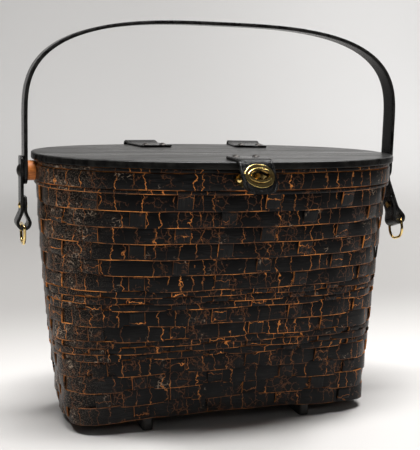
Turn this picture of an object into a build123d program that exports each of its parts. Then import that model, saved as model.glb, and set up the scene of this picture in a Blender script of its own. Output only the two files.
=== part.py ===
"""A lidded splint basket made as a handbag, in millimetres.

X runs along the long side, -Y is the front with the clasp, +Z is up.
The origin lies on the floor, under the middle of the base.
"""
import math
import os

from build123d import *

# Woven body: half lengths, half depths and corner squareness at three heights
base_half_length = 144.0
base_half_depth = 54.0
base_square = 6.8
waist_half_length = 160.5
waist_half_depth = 71.5
waist_square = 2.6
rim_half_length = 166.7
rim_half_depth = 94.9
rim_square = 2.24
base_height = 8.7
base_bow = 6.5
wall_thickness = 2.9
base_thickness = 3.0

# Weave: reeds, stakes and the relief of the plaiting
wide_reed = 14.3
narrow_reed = 6.2
reed_joint = 1.3
stake_width = 14.0
stake_groove = 1.6
reed_rise = 1.0
reed_shoulder = 0.5
stake_rise = 0.5
reed_dip = 1.1
row_groups = (("wide", 4), ("narrow", 3), ("wide", 2), ("narrow", 3), ("wide", 6))
long_side_shares = (0.115, 0.35, 0.578, 0.80)
end_shares = (0.40, 0.0, -0.40)
corner_points = 2

# Rim hoops
band_height = 14.4
band_thickness = 3.0
inner_band_thickness = 2.4
lower_reed_height = 3.6
lower_reed_thickness = 2.6
top_reed_height = 3.5
top_reed_inset = 0.5
hoop_round = 0.9
seat_gap = 0.1

# Lid board
lid_half_length = 172.0
lid_half_depth = 101.5
lid_square = 2.25
lid_thickness = 6.5
lid_round = 1.6

# Runners under the base
runner_offset = 76.5
runner_width = 9.5
runner_half_length = 50.0
runner_round = 3.0

# Leather handle and its pegs
strap_width = 19.0
strap_thickness = 3.2
handle_half_width = 178.3
handle_leg_top = 275.0
handle_arch_height = 87.0
handle_square = 3.0
left_tail = 12.0
right_tail = 9.8
handle_steps = 28
peg_height = 229.5
peg_diameter = 17.5
bolt_diameter = 6.0
bolt_head_diameter = 11.5
bolt_head_height = 2.4
turning_gap = 0.3

# Leather tabs with brass rings at both ends
tab_thickness = 2.6
tab_above_peg = 11.5
tab_fold_drop = 36.0
tab_loop_drop = 45.5
tab_loop_radius = 5.4
tab_return = 22.5
tab_layer_gap = 0.2
tab_bend_drop = 14.0
tab_leans = {-1: 0.0, 1: 13.0}
tab_swings = {-1: 0.0, 1: 18.0}
tab_extras = {-1: 0.0, 1: 6.0}
tab_rivet_drop = 30.5
tab_rivet_head = 6.0
ring_wire = 2.6
ring_width = 23.6
ring_height = 16.5
ring_shoulder = 2.0
ring_corner = 9.5

# Leather hinge straps across the back edge
hinge_places = (-48.0, 61.0)
hinge_width = 33.0
hinge_thickness = 2.2
hinge_on_lid = 40.0
hinge_bulge = 2.2
hinge_reach = 4.0
hinge_bend = 2.2
hinge_tail_height = 12.5
rivet_head = 7.0
rivet_head_height = 1.6
rivet_shank = 3.4
rivet_tail_height = 1.0
rivet_spread = 9.0
rivet_edge = 8.0

# Clasp strap, turn lock and its window plate
clasp_offset = -3.5
clasp_width = 31.0
clasp_thickness = 3.0
clasp_on_lid = 30.0
clasp_length = 32.0
clasp_corner = 10.0
clasp_lean = 37.0
clasp_edge_gap = 0.4
window_drop = 16.0
window_width = 16.0
window_height = 9.4
plate_width = 26.0
plate_height = 22.8
plate_thickness = 0.9
plate_lip_width = 2.4
plate_lip_height = 1.1
backing_width = 22.0
backing_height = 16.0
backing_thickness = 0.8
lock_plate_width = 32.0
lock_plate_height = 14.6
lock_plate_thickness = 1.5
lock_lower = 0.5
lock_screw_offset = 12.0
lock_screw_head = 4.4
lock_screw_head_height = 1.0
lock_screw_shank = 2.2
knob_stem = 4.4
knob_reach = 0.5
knob_head_length = 11.4
knob_head_width = 4.2
knob_head_depth = 3.0
knob_waist_share = 0.62

# One overrun serves all cuts
overrun = 20.0

# Heights that follow from the reeds
reed_heights = {"wide": wide_reed, "narrow": narrow_reed}
row_heights = [reed_heights[kind] for kind, count in row_groups for _ in range(count)]
weave_top = base_height + sum(row_heights)
waist_height = base_height + 6 * wide_reed + 6 * narrow_reed
band_bottom = weave_top + lower_reed_height
wall_top = band_bottom + band_height
lid_bottom = wall_top + top_reed_height
lid_top = lid_bottom + lid_thickness
bow_radius = (base_half_length**2 + base_bow**2) / (2 * base_bow)
band_half_length = rim_half_length + seat_gap + band_thickness
band_half_depth = rim_half_depth + seat_gap + band_thickness
strap_inside = handle_half_width - strap_thickness / 2
strap_outside = handle_half_width + strap_thickness / 2
tab_room = tab_thickness + turning_gap
tab_centres = {
    -1: strap_outside + tab_room - tab_thickness / 2,
    1: strap_inside - tab_room + tab_thickness / 2,
}
peg_ends = {-1: strap_inside - turning_gap, 1: strap_inside - tab_room - turning_gap}
bolt_seats = {-1: strap_outside + tab_room + turning_gap, 1: strap_outside + turning_gap}
fold_y = -(lid_half_depth + clasp_edge_gap + clasp_thickness / 2)
fold_z = lid_top + clasp_thickness / 2
lock_z = fold_z - window_drop - lock_lower
lock_face_y = -(band_half_depth + seat_gap + lock_plate_thickness)


def between(z, low, middle, high):
    """Value at height z on the smooth curve through base, waist and rim values."""
    if z >= band_bottom:
        return high
    first = (middle - low) / (waist_height - base_height)
    second = (high - middle) / (band_bottom - waist_height)
    bend = (second - first) / (band_bottom - base_height)
    return low + first * (z - base_height) + bend * (z - base_height) * (z - waist_height)


def section(z):
    """Half length, half depth and squareness of the wall at height z."""
    length = between(z, base_half_length, waist_half_length, rim_half_length)
    depth = between(z, base_half_depth, waist_half_depth, rim_half_depth)
    flat = between(z, 1 / base_square, 1 / waist_square, 1 / rim_square)
    return length, depth, 1 / flat


def oval_point(length, depth, square, turn):
    """Point of a superellipse at a turn in radians."""
    c, s = math.cos(turn), math.sin(turn)
    x = math.copysign(length * abs(c) ** (2 / square), c)
    y = math.copysign(depth * abs(s) ** (2 / square), s)
    return x, y


def oval_normal(length, depth, square, x, y):
    """Outward unit normal of a superellipse at one of its points."""
    gx = math.copysign((abs(x) / length) ** (square - 1) / length, x)
    gy = math.copysign((abs(y) / depth) ** (square - 1) / depth, y)
    size = math.hypot(gx, gy)
    return gx / size, gy / size


def oval(length, depth, square, points=48):
    """Face bounded by a smooth superellipse."""
    turns = [2 * math.pi * (k + 0.5) / points for k in range(points)]
    edge = Spline([oval_point(length, depth, square, t) for t in turns], periodic=True)
    return make_face(edge)


def hoop(outer, inner, bottom, height):
    """Ring between two offsets from the rim line, standing on a height."""
    outside = oval(rim_half_length + outer, rim_half_depth + outer, rim_square)
    inside = oval(rim_half_length + inner, rim_half_depth + inner, rim_square)
    return Pos(0, 0, bottom) * extrude(outside - inside, height)


def stake_turns(square):
    """Turns of the stakes round one section, counter-clockwise from the front middle."""
    front = [-math.acos(s ** (square / 2)) for s in long_side_shares]
    end = [-math.copysign(math.asin(abs(s) ** (square / 2)), s) for s in end_shares]
    right = front + end
    back = [-t for t in reversed(front)]
    half = right + back
    return half + [t + math.pi for t in half]


def stake_relief(kind):
    """Steps along the wall and their relief at a stake: reed over it, under it, or plain."""
    edge = stake_width / 2
    outer = edge + stake_groove
    levels = {
        "over": (reed_shoulder, reed_rise, reed_rise, reed_shoulder),
        "under": (-reed_dip, stake_rise, stake_rise, -reed_dip),
        "plain": (-stake_rise, -stake_rise, -stake_rise, -stake_rise),
    }
    return list(zip((-outer, -edge, edge, outer), levels[kind]))


def bow_lift(x, z, length):
    """Rise of the lower rows towards the middle of the long side."""
    fade = max(0.0, 1 - (z - base_height) / (waist_height - base_height))
    return base_bow * fade * max(0.0, 1 - (x / length) ** 2)


def weave_outline(z, kinds, bowed=True):
    """Closed outline of a row at height z, with one kind of crossing after another."""
    length, depth, square = section(z)
    turns = stake_turns(square)
    quarter = len(long_side_shares)
    half = len(turns) // 2
    corners = (quarter - 1, half - quarter - 1)
    points = []
    for k, turn in enumerate(turns):
        x, y = oval_point(length, depth, square, turn)
        nx, ny = oval_normal(length, depth, square, x, y)
        for step, level in stake_relief(kinds[k % len(kinds)]):
            points.append((x - ny * step + nx * level, y + nx * step + ny * level))
        if k % half in corners:
            gap = (turns[(k + 1) % len(turns)] - turn) % (2 * math.pi)
            for j in range(corner_points):
                t = turn + gap * (j + 1) / (corner_points + 1)
                points.append(oval_point(length, depth, square, t))
    lifts = [bow_lift(x, z, length) if bowed else 0 for x, y in points]
    corners_3d = [(x, y, z + lift) for (x, y), lift in zip(points, lifts)]
    return Wire.make_polygon(corners_3d, close=True)


def bow_segment(lift):
    """Solid under the bowed line of the base, raised by a height."""
    start = (-base_half_length, base_height + lift)
    top = (0, base_height + base_bow + lift)
    finish = (base_half_length, base_height + lift)
    outline = ThreePointArc(start, top, finish) + Line(finish, start)
    return extrude(Plane.XZ * make_face(outline), base_half_depth + overrun, both=True)


def make_woven_body():
    """Wall and base, woven as one piece: reed rows pass over and under the stakes."""
    wires = []
    z = base_height
    for row, height in enumerate(row_heights):
        kinds = ("over", "under") if row % 2 == 0 else ("under", "over")
        joint = reed_joint / 2
        wires.append(weave_outline(z + joint if row else z, kinds, bowed=row > 0))
        z += height
        wires.append(weave_outline(z - joint, kinds))
    for z in (weave_top, wall_top):
        wires.append(weave_outline(z, ("plain",)))
    outside = Solid.make_loft(wires, ruled=True)
    faces = []
    for z in (base_height + base_thickness, waist_height, band_bottom, wall_top + overrun):
        length, depth, square = section(z)
        inside = oval(length - wall_thickness, depth - wall_thickness, square)
        faces.append(Pos(0, 0, z) * inside)
    cavity = loft(faces[:3]) + loft(faces[2:], ruled=True)
    cavity -= bow_segment(base_thickness)
    return outside - bow_segment(0) - cavity


def oval_plate(width, height, thickness):
    """Flat oval plate in the XY plane, standing on z = 0."""
    return extrude(Ellipse(width / 2, height / 2), thickness)


def rivet(head, head_height, shank, grip, tail=0):
    """Domed rivet along Z: head above z = 0, shank below it, flat tail if it has one."""
    dome = (head**2 / 4 + head_height**2) / (2 * head_height)
    ball = Pos(0, 0, head_height - dome) * Sphere(dome)
    cap = ball & Pos(0, 0, head_height / 2) * Cylinder(head / 2, head_height)
    body = cap + Pos(0, 0, -grip / 2) * Cylinder(shank / 2, grip)
    if tail:
        body += Pos(0, 0, -grip - tail / 2) * Cylinder(head / 2, tail)
    return body


def along_x(side):
    """Placement that turns +Z of a shape outward along X on one end of the basket."""
    return Rot(0, 90 * side, 0)


def hinge_frames():
    """Places on the rim band's back where a hinge strap lies, local +Y pointing outward."""
    frames = []
    for x in hinge_places:
        share = 1 - (abs(x) / band_half_length) ** rim_square
        y = band_half_depth * share ** (1 / rim_square)
        nx, ny = oval_normal(band_half_length, band_half_depth, rim_square, x, y)
        frames.append(Pos(x, y, 0) * Rot(0, 0, math.degrees(math.atan2(ny, nx)) - 90))
    return frames


def lid_rivet_places():
    """Places of the hinge rivets on top of the straps, and of the clasp rivets."""
    top = lid_top + hinge_thickness
    inward = -(hinge_on_lid - rivet_edge)
    hinge = [f * Pos(s * rivet_spread, inward, top) for f in hinge_frames() for s in (-1, 1)]
    root = fold_y + clasp_on_lid - rivet_edge
    top = lid_top + clasp_thickness
    clasp = [Pos(clasp_offset + s * rivet_spread, root, top) for s in (-1, 1)]
    return hinge, clasp


def wall_rivet_places():
    """Places of the rivets that hold the hinge straps to the rim band."""
    height = wall_top - hinge_tail_height / 2
    out = seat_gap + hinge_thickness
    return [
        f * Pos(s * rivet_spread, out, height) * Rot(-90, 0, 0)
        for f in hinge_frames()
        for s in (-1, 1)
    ]


def shank_hole(grip, clearance=seat_gap):
    """Drill that clears a rivet's shank, from above its head seat to past its tail."""
    return Pos(0, 0, -grip / 2) * Cylinder(rivet_shank / 2 + clearance, grip + overrun)


def make_lid_board():
    """Flat oval board with rounded edges and the rivet holes."""
    board = extrude(oval(lid_half_length, lid_half_depth, lid_square), lid_thickness)
    board = Pos(0, 0, lid_bottom) * fillet(board.edges(), lid_round)
    hinge, clasp = lid_rivet_places()
    for place in hinge + clasp:
        board -= place * shank_hole(hinge_thickness + lid_thickness)
    return board


def make_hinge_strap(frame):
    """Leather strap from the lid's top, in a loose bend over its edge, to the band's back."""
    flat = lid_top + hinge_thickness / 2
    back = seat_gap + hinge_thickness / 2
    edge = lid_half_depth - band_half_depth + hinge_thickness / 2
    far = edge + hinge_reach
    points = [
        (-hinge_on_lid, flat),
        (edge - 3 * hinge_thickness, flat),
        (edge, flat + hinge_bulge),
        (far, flat + hinge_bulge / 2),
        (far, lid_bottom),
        (back, wall_top),
        (back, wall_top - hinge_tail_height),
    ]
    centre = FilletPolyline(*points, radius=hinge_bend).wire()
    outline = thick_line(centre, hinge_thickness)
    strap = extrude(Plane.YZ * outline, hinge_width / 2, both=True)
    strap = frame * strap
    hinge, _ = lid_rivet_places()
    for place in hinge:
        strap -= place * shank_hole(hinge_thickness, turning_gap)
    for place in wall_rivet_places():
        strap -= place * shank_hole(hinge_thickness)
    return strap


def thick_line(centre, thickness):
    """Face of a leather edge: a flat centre line given its thickness."""
    return make_face(centre.offset_2d(thickness / 2, side=Side.BOTH, closed=True))


def make_hinge_lid_rivets():
    """Four rivets that hold the hinge straps on the lid."""
    hinge, _ = lid_rivet_places()
    grip = hinge_thickness + lid_thickness
    shape = rivet(rivet_head, rivet_head_height, rivet_shank, grip, rivet_tail_height)
    return [place * shape for place in hinge]


def make_hinge_wall_rivets():
    """Four rivets that hold the hinge straps on the rim band."""
    grip = hinge_thickness + band_thickness
    shape = rivet(rivet_head, rivet_head_height, rivet_shank, grip)
    return [place * shape for place in wall_rivet_places()]


def make_outer_band():
    """Outer rim band with the hinge rivets' holes."""
    band = hoop(seat_gap + band_thickness, seat_gap, band_bottom, band_height)
    band = fillet(band.faces().sort_by(Axis.Z)[0].outer_wire().edges(), hoop_round)
    band = fillet(band.faces().sort_by(Axis.Z)[-1].outer_wire().edges(), hoop_round)
    for place in wall_rivet_places():
        band -= place * shank_hole(hinge_thickness)
    return band


def make_inner_band():
    """Inner rim band, behind the stake ends."""
    outer = -wall_thickness - seat_gap
    return hoop(outer, outer - inner_band_thickness, band_bottom, band_height)


def make_lower_reed():
    """Narrow reed under the outer band."""
    reed = hoop(seat_gap + lower_reed_thickness, seat_gap, weave_top, lower_reed_height)
    edges = reed.faces().sort_by(Axis.Z)[0].outer_wire().edges()
    return fillet(edges, hoop_round)


def make_top_reed():
    """Reed that caps the stake ends between the bands and carries the lid."""
    outer = seat_gap + band_thickness - top_reed_inset
    inner = -wall_thickness - seat_gap - inner_band_thickness + top_reed_inset
    reed = hoop(outer, inner, wall_top, top_reed_height)
    return fillet(reed.faces().sort_by(Axis.Z)[-1].edges(), hoop_round)


def make_runner(side):
    """Wooden runner from front to back under the base."""
    edge = runner_offset + runner_width / 2
    drop = bow_radius - math.sqrt(bow_radius**2 - edge**2)
    height = base_height + base_bow - drop - seat_gap
    blank = Box(runner_width, 2 * runner_half_length, height)
    blank = fillet(blank.edges().filter_by(Axis.Z), runner_round)
    return Pos(side * runner_offset, 0, height / 2) * blank


def make_peg(side):
    """Wooden spacer between the rim's end and the handle strap, bored for its bolt."""
    length = peg_ends[side] - rim_half_length
    peg = Cylinder(peg_diameter / 2, length) - Cylinder(bolt_diameter / 2 + seat_gap, length)
    peg = Pos(side * (peg_ends[side] - length / 2), 0, peg_height) * along_x(side) * peg
    core = oval(band_half_length + seat_gap, band_half_depth + seat_gap, rim_square)
    return peg - Pos(0, 0, band_bottom - overrun) * extrude(core, band_height + 2 * overrun)


def make_peg_bolt(side):
    """Domed bolt through the tab, the handle strap and the peg."""
    seat = bolt_seats[side]
    grip = seat - band_half_length - seat_gap
    shape = rivet(bolt_head_diameter, bolt_head_height, bolt_diameter, grip)
    return Pos(side * seat, 0, peg_height) * along_x(side) * shape


def bolt_hole(side):
    """Drill that lets a strap turn on its bolt."""
    drill = Cylinder(bolt_diameter / 2 + turning_gap, overrun)
    return Pos(side * handle_half_width, 0, peg_height) * along_x(side) * drill


def handle_arch(offset):
    """Closed outline in XZ under the handle's arch, moved out by an offset."""
    width = handle_half_width + offset
    rise = handle_arch_height + offset
    foot = peg_height - left_tail
    points = []
    for k in range(handle_steps + 1):
        x, z = oval_point(width, rise, handle_square, math.pi * k / handle_steps)
        points.append((x, handle_leg_top + z))
    arch = Spline(points, tangents=[(0, 1), (0, -1)])
    left = Line(points[-1], (-width, foot))
    base = Line((-width, foot), (width, foot))
    right = Line((width, foot), points[0])
    return make_face(Wire([right, arch.edge(), left, base]))


def make_handle_strap():
    """Leather strap in a flat-topped arch, its two tails rounded and holed for the bolts."""
    band = handle_arch(strap_thickness / 2) - handle_arch(-strap_thickness / 2)
    strap = extrude(Plane.XZ * band, strap_width / 2, both=True)
    spare = left_tail - right_tail
    foot = peg_height - left_tail
    strap -= Pos(handle_half_width, 0, foot + spare / 2) * Box(overrun, overrun, spare)
    for level in (foot, foot + spare):
        tails = strap.edges().filter_by(Axis.X).filter_by_position(Axis.Z, level, level)
        strap = fillet(tails, strap_width / 2 - turning_gap)
    return strap - bolt_hole(-1) - bolt_hole(1)


def tab_point(side, out, drop):
    """Point of a tab in XZ of the right-hand end: out from its outer layer, down from the peg."""
    if drop <= tab_bend_drop:
        return tab_centres[side] + out, peg_height - drop
    below = drop - tab_bend_drop + tab_extras[side]
    lean = math.radians(tab_leans[side])
    c, s = math.cos(lean), math.sin(lean)
    x = tab_centres[side] + out * c + below * s
    z = peg_height - tab_bend_drop + out * s - below * c
    return x, z


def swung(side, shape):
    """Piece of a tab turned about the bolt by the swing that its end of the basket shows."""
    turn = Rot(-tab_swings[side], 0, 0)
    return Pos(0, 0, peg_height) * turn * Pos(0, 0, -peg_height) * shape


def tab_loop_centre(side):
    """Middle of the loop that a tab's fold makes, in XZ on the right-hand end."""
    middle = -(tab_thickness + tab_layer_gap) / 2
    return tab_point(side, middle, tab_loop_drop)


def make_ring_tab(side):
    """Leather tab hung on the bolt, folded up round its ring and riveted to itself."""
    layers = tab_thickness + tab_layer_gap
    rise = tab_loop_drop - tab_fold_drop
    half = layers / 2
    reach = math.hypot(rise, half)
    turn = math.asin(tab_loop_radius / reach) - math.atan2(half, rise)
    hip = tab_loop_radius * math.cos(turn)
    hip_drop = tab_loop_drop - tab_loop_radius * math.sin(turn)
    p = [
        tab_point(side, 0, -tab_above_peg),
        tab_point(side, 0, tab_bend_drop),
        tab_point(side, 0, tab_fold_drop),
        tab_point(side, hip - half, hip_drop),
        tab_point(side, -half, tab_loop_drop + tab_loop_radius),
        tab_point(side, -hip - half, hip_drop),
        tab_point(side, -layers, tab_fold_drop),
        tab_point(side, -layers, tab_return),
    ]
    lines = [Line(p[0], p[1]), Line(p[1], p[2]), Line(p[2], p[3])]
    loop = ThreePointArc(p[3], p[4], p[5])
    lines += [loop, Line(p[5], p[6]), Line(p[6], p[7])]
    outline = thick_line(Wire([edge for line in lines for edge in line.edges()]), tab_thickness)
    tab = extrude(Plane.XZ * outline, strap_width / 2, both=True)
    tab -= bolt_hole(1)
    tab -= tab_rivet_place(side) * Cylinder(rivet_shank / 2 + seat_gap, overrun)
    return swung(side, tab if side > 0 else mirror(tab, Plane.YZ))


def tab_rivet_place(side):
    """Seat of a tab's rivet head on the outer layer, +Z pointing out of the leather."""
    x, z = tab_point(side, tab_thickness / 2, tab_rivet_drop)
    return Pos(x, 0, z) * Rot(0, 90 - tab_leans[side], 0)


def make_tab_rivet(side):
    """Brass rivet through both layers of a tab."""
    grip = 2 * tab_thickness + tab_layer_gap
    shape = rivet(tab_rivet_head, rivet_head_height, rivet_shank, grip, rivet_tail_height)
    shape = tab_rivet_place(side) * shape
    return swung(side, shape if side > 0 else mirror(shape, Plane.YZ))


def make_ring(side):
    """Brass wire ring hanging in the fold of a tab."""
    x, z = tab_loop_centre(side)
    slack = tab_loop_radius - tab_thickness / 2 - ring_wire / 2 - turning_gap
    top = z - slack
    frame = Rectangle(ring_width, ring_height)
    rows = frame.vertices().group_by(Axis.Y)
    frame = fillet(rows[-1], ring_shoulder)
    frame = fillet(frame.vertices().group_by(Axis.Y)[0], ring_corner)
    path = Plane.YZ * Pos(0, -ring_height / 2) * frame.face().outer_wire()
    start = path.edges().sort_by(Axis.Z)[-1]
    profile = Plane(start @ 0.5, z_dir=start % 0.5) * Circle(ring_wire / 2)
    ring = Pos(side * x, 0, top) * sweep(profile, path=path)
    return swung(side, ring)


def make_clasp_strap():
    """Leather root of the clasp on the lid, its front end rounded for the fold."""
    length = clasp_on_lid
    blank = Box(clasp_width, length, clasp_thickness)
    nose = Cylinder(clasp_thickness / 2, clasp_width)
    root = Pos(clasp_offset, fold_y + length / 2, fold_z) * blank
    root += Pos(clasp_offset, fold_y, fold_z) * Rot(0, 90, 0) * nose
    _, clasp = lid_rivet_places()
    for place in clasp:
        root -= place * shank_hole(clasp_thickness)
    return root


def make_clasp_rivets():
    """Two rivets that hold the clasp strap on the lid."""
    _, clasp = lid_rivet_places()
    grip = clasp_thickness + lid_thickness
    shape = rivet(rivet_head, rivet_head_height, rivet_shank, grip, rivet_tail_height)
    return [place * shape for place in clasp]


def flap_place():
    """Frame of the flap: +X across it, +Y up along it, +Z out of its face, at the fold."""
    return Pos(clasp_offset, fold_y, fold_z) * Rot(90 - clasp_lean, 0, 0)


def make_clasp_flap():
    """Leather flap hung from the fold, with round lower corners and the lock's window."""
    blank = Pos(0, -clasp_length / 2) * Rectangle(clasp_width, clasp_length)
    low = blank.vertices().group_by(Axis.Y)[0]
    blank = fillet(low, clasp_corner)
    flap = Pos(0, 0, -clasp_thickness / 2) * extrude(blank, clasp_thickness)
    nose = clasp_thickness / math.sqrt(2) + seat_gap
    flap -= Rot(0, 90, 0) * Cylinder(nose, clasp_width + overrun)
    flap -= Pos(0, -window_drop, -overrun) * oval_plate(
        window_width + 2 * seat_gap, window_height + 2 * seat_gap, 2 * overrun
    )
    return flap_place() * flap


def make_window_plate():
    """Brass oval on the flap's face, with a raised lip round the window."""
    plate = oval_plate(plate_width, plate_height, plate_thickness)
    plate = fillet(plate.faces().sort_by(Axis.Z)[-1].edges(), plate_thickness / 2)
    lip_width = window_width + 2 * plate_lip_width
    lip_height = window_height + 2 * plate_lip_width
    lip = oval_plate(lip_width, lip_height, plate_thickness + plate_lip_height)
    lip = fillet(lip.faces().sort_by(Axis.Z)[-1].edges(), plate_lip_height / 2)
    plate = plate + lip - Pos(0, 0, -overrun) * oval_plate(window_width, window_height, 2 * overrun)
    return flap_place() * Pos(0, -window_drop, clasp_thickness / 2) * plate


def make_backing_plate():
    """Thin brass oval that clamps the window plate from behind the flap."""
    plate = oval_plate(backing_width, backing_height, backing_thickness)
    plate -= Pos(0, 0, -overrun) * oval_plate(window_width, window_height, 2 * overrun)
    back = -clasp_thickness / 2 - backing_thickness
    return flap_place() * Pos(0, -window_drop, back) * plate


def lock_frame():
    """Frame of the turn lock on the rim band: +X across, +Z out to the front."""
    return Pos(clasp_offset, lock_face_y, lock_z) * Rot(90, 0, 0)


def make_lock_plate():
    """Brass oval plate that carries the knob, screwed to the rim band."""
    plate = oval_plate(lock_plate_width, lock_plate_height, lock_plate_thickness)
    plate -= Cylinder(knob_stem / 2 + turning_gap, overrun)
    for side in (-1, 1):
        hole = Cylinder(lock_screw_shank / 2 + seat_gap, overrun)
        plate -= Pos(side * lock_screw_offset, 0, 0) * hole
    return lock_frame() * Pos(0, 0, -lock_plate_thickness) * plate


def make_lock_screws():
    """Two domed screws of the lock plate."""
    grip = lock_plate_thickness
    shape = rivet(lock_screw_head, lock_screw_head_height, lock_screw_shank, grip)
    return [lock_frame() * Pos(s * lock_screw_offset, 0, 0) * shape for s in (-1, 1)]


def make_turn_knob():
    """Bow-tie knob on a stem that reaches out through the flap's window."""
    front = -(fold_y - clasp_thickness / 2) + plate_thickness + plate_lip_height + knob_reach
    stem_top = front + lock_face_y
    back = -lock_plate_thickness
    stem = Pos(0, 0, (stem_top + back) / 2) * Cylinder(knob_stem / 2, stem_top - back)
    half = knob_head_length / 2
    wide = knob_head_width / 2
    waist = wide * knob_waist_share
    lobe = half - wide
    upper = Spline([(-lobe, wide), (0, waist), (lobe, wide)], tangents=[(1, 0), (1, 0)])
    lower = Spline([(lobe, -wide), (0, -waist), (-lobe, -wide)], tangents=[(-1, 0), (-1, 0)])
    right = ThreePointArc((lobe, wide), (half, 0), (lobe, -wide))
    left = ThreePointArc((-lobe, -wide), (-half, 0), (-lobe, wide))
    outline = Wire([upper.edge(), right.edge(), lower.edge(), left.edge()])
    head = extrude(make_face(outline), knob_head_depth)
    head = fillet(head.faces().sort_by(Axis.Z)[-1].edges(), knob_head_depth / 4)
    return lock_frame() * (stem + Pos(0, 0, stem_top) * head)


def main():
    """Build every piece and write one file for each node."""
    pieces = {
        "woven_body": make_woven_body(),
        "outer_rim_band": make_outer_band(),
        "inner_rim_band": make_inner_band(),
        "lower_rim_reed": make_lower_reed(),
        "top_rim_reed": make_top_reed(),
        "lid_board": make_lid_board(),
        "hinge_lid_rivets": Compound(make_hinge_lid_rivets()),
        "hinge_wall_rivets": Compound(make_hinge_wall_rivets()),
        "clasp_strap": make_clasp_strap(),
        "clasp_rivets": Compound(make_clasp_rivets()),
        "clasp_flap": make_clasp_flap(),
        "window_plate": make_window_plate(),
        "backing_plate": make_backing_plate(),
        "lock_plate": make_lock_plate(),
        "lock_screws": Compound(make_lock_screws()),
        "turn_knob": make_turn_knob(),
        "handle_strap": make_handle_strap(),
    }
    for name, frame in zip(("left", "right"), hinge_frames()):
        pieces[f"{name}_hinge_strap"] = make_hinge_strap(frame)
    for name, side in (("left", -1), ("right", 1)):
        pieces[f"{name}_runner"] = make_runner(side)
        pieces[f"{name}_peg"] = make_peg(side)
        pieces[f"{name}_peg_bolt"] = make_peg_bolt(side)
        pieces[f"{name}_ring_tab"] = make_ring_tab(side)
        pieces[f"{name}_tab_rivet"] = make_tab_rivet(side)
        pieces[f"{name}_ring"] = make_ring(side)
    os.makedirs("parts", exist_ok=True)
    for name, shape in pieces.items():
        export_step(shape, f"parts/{name}.step")


if __name__ == "__main__":
    main()
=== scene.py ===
"""Looks of a lidded splint basket handbag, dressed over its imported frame.

Lengths are metres in the frame's own axes: X along the long side, -Y to the front, Z up.
"""
import logging
import math
from dataclasses import dataclass, field
from enum import Enum
from typing import Sequence, Union

import bpy
import numpy as np
from mathutils import Matrix, Vector


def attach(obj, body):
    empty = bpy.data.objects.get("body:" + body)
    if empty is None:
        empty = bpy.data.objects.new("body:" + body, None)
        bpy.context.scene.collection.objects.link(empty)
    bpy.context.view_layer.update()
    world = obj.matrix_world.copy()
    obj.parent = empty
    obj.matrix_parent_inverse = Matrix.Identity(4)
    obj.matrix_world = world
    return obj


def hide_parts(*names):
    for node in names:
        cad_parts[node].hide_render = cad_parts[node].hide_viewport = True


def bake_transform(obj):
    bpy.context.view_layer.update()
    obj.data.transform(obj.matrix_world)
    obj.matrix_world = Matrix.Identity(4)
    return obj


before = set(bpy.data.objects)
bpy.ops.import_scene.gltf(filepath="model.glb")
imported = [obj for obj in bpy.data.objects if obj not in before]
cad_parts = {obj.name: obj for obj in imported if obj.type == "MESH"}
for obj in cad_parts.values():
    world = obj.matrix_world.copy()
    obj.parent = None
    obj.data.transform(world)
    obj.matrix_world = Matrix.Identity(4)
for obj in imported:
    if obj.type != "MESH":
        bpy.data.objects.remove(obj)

LOG = logging.getLogger("basket")
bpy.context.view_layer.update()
RANDOM_START = 41
RANDOM = np.random.default_rng(RANDOM_START)
SEED_SPAN = 9.0
SECTION_INPUTS = ("Width", "Thickness", "Rounding")

Array = np.ndarray
Pair = tuple[float, float]
Triple = tuple[float, float, float]
Socket = bpy.types.NodeSocket
Value = Union[Socket, float, str, tuple]
Mesh = bpy.types.Mesh
Piece = bpy.types.Object
Stop = tuple[float, float, float]
Trail = tuple[list, list, list]

ALONG_X = np.array((1.0, 0.0, 0.0))
ALONG_Y = np.array((0.0, 1.0, 0.0))
UP = np.array((0.0, 0.0, 1.0))


class Body(Enum):
    """Bodies of the frame that new pieces ride on."""

    BASKET = "basket"
    LID = "lid"
    CLASP = "clasp"
    HANDLE = "handle"
    LEFT_TAB = "left_tab"
    RIGHT_TAB = "right_tab"


class Slot(Enum):
    """Material slots of the record."""

    LEATHER = "leather"
    SPLINT = "splint"


class Side(Enum):
    """Ends of the basket along X, valued by their sign."""

    LEFT = -1
    RIGHT = 1


class Reed(Enum):
    """Kinds of reed in the wall, valued by the name of their piece."""

    WIDE = "wide_reeds"
    NARROW = "narrow_reeds"


def smooth(share: Array) -> Array:
    """Smooth step of a share between 0 and 1."""
    held = np.clip(share, 0.0, 1.0)
    return held * held * (3 - 2 * held)


def unit(vectors: Array) -> Array:
    """Vectors scaled to length one."""
    return vectors / np.linalg.norm(vectors, axis=-1, keepdims=True)


def run_length(points: Array) -> Array:
    """Length along a line of points, starting at zero."""
    steps = np.linalg.norm(np.diff(points, axis=0), axis=1)
    return np.concatenate(([0.0], np.cumsum(steps)))


def resample(values: Array, lengths: Array, places: Array) -> Array:
    """Columns of values read at other places along their line."""
    return np.stack([np.interp(places, lengths, column) for column in values.T], axis=1)


def curve_point(first: Array, corner: Array, last: Array, share: float) -> Array:
    """Point of the parabola from first to last that leans towards a corner."""
    return (1 - share) ** 2 * first + 2 * share * (1 - share) * corner + share * share * last


def rounded_line(corners: Sequence[Pair], cut: float, steps: int = 6) -> Array:
    """Flat line through corners, each corner rounded off.

    Args:
        corners: Corner points in a plane.
        cut: Length taken off each run at a corner, at most half of the run.
        steps: Points made along each rounding.

    Returns:
        Points of the rounded line.
    """
    line = np.array(corners, float)
    points = [line[0]]
    for before, corner, after in zip(line[:-2], line[1:-1], line[2:]):
        back, ahead = before - corner, after - corner
        enter = corner + back * min(0.5, cut / np.linalg.norm(back))
        leave = corner + ahead * min(0.5, cut / np.linalg.norm(ahead))
        points += [curve_point(enter, corner, leave, share) for share in np.linspace(0, 1, steps)]
    points.append(line[-1])
    return np.array(points)


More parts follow.
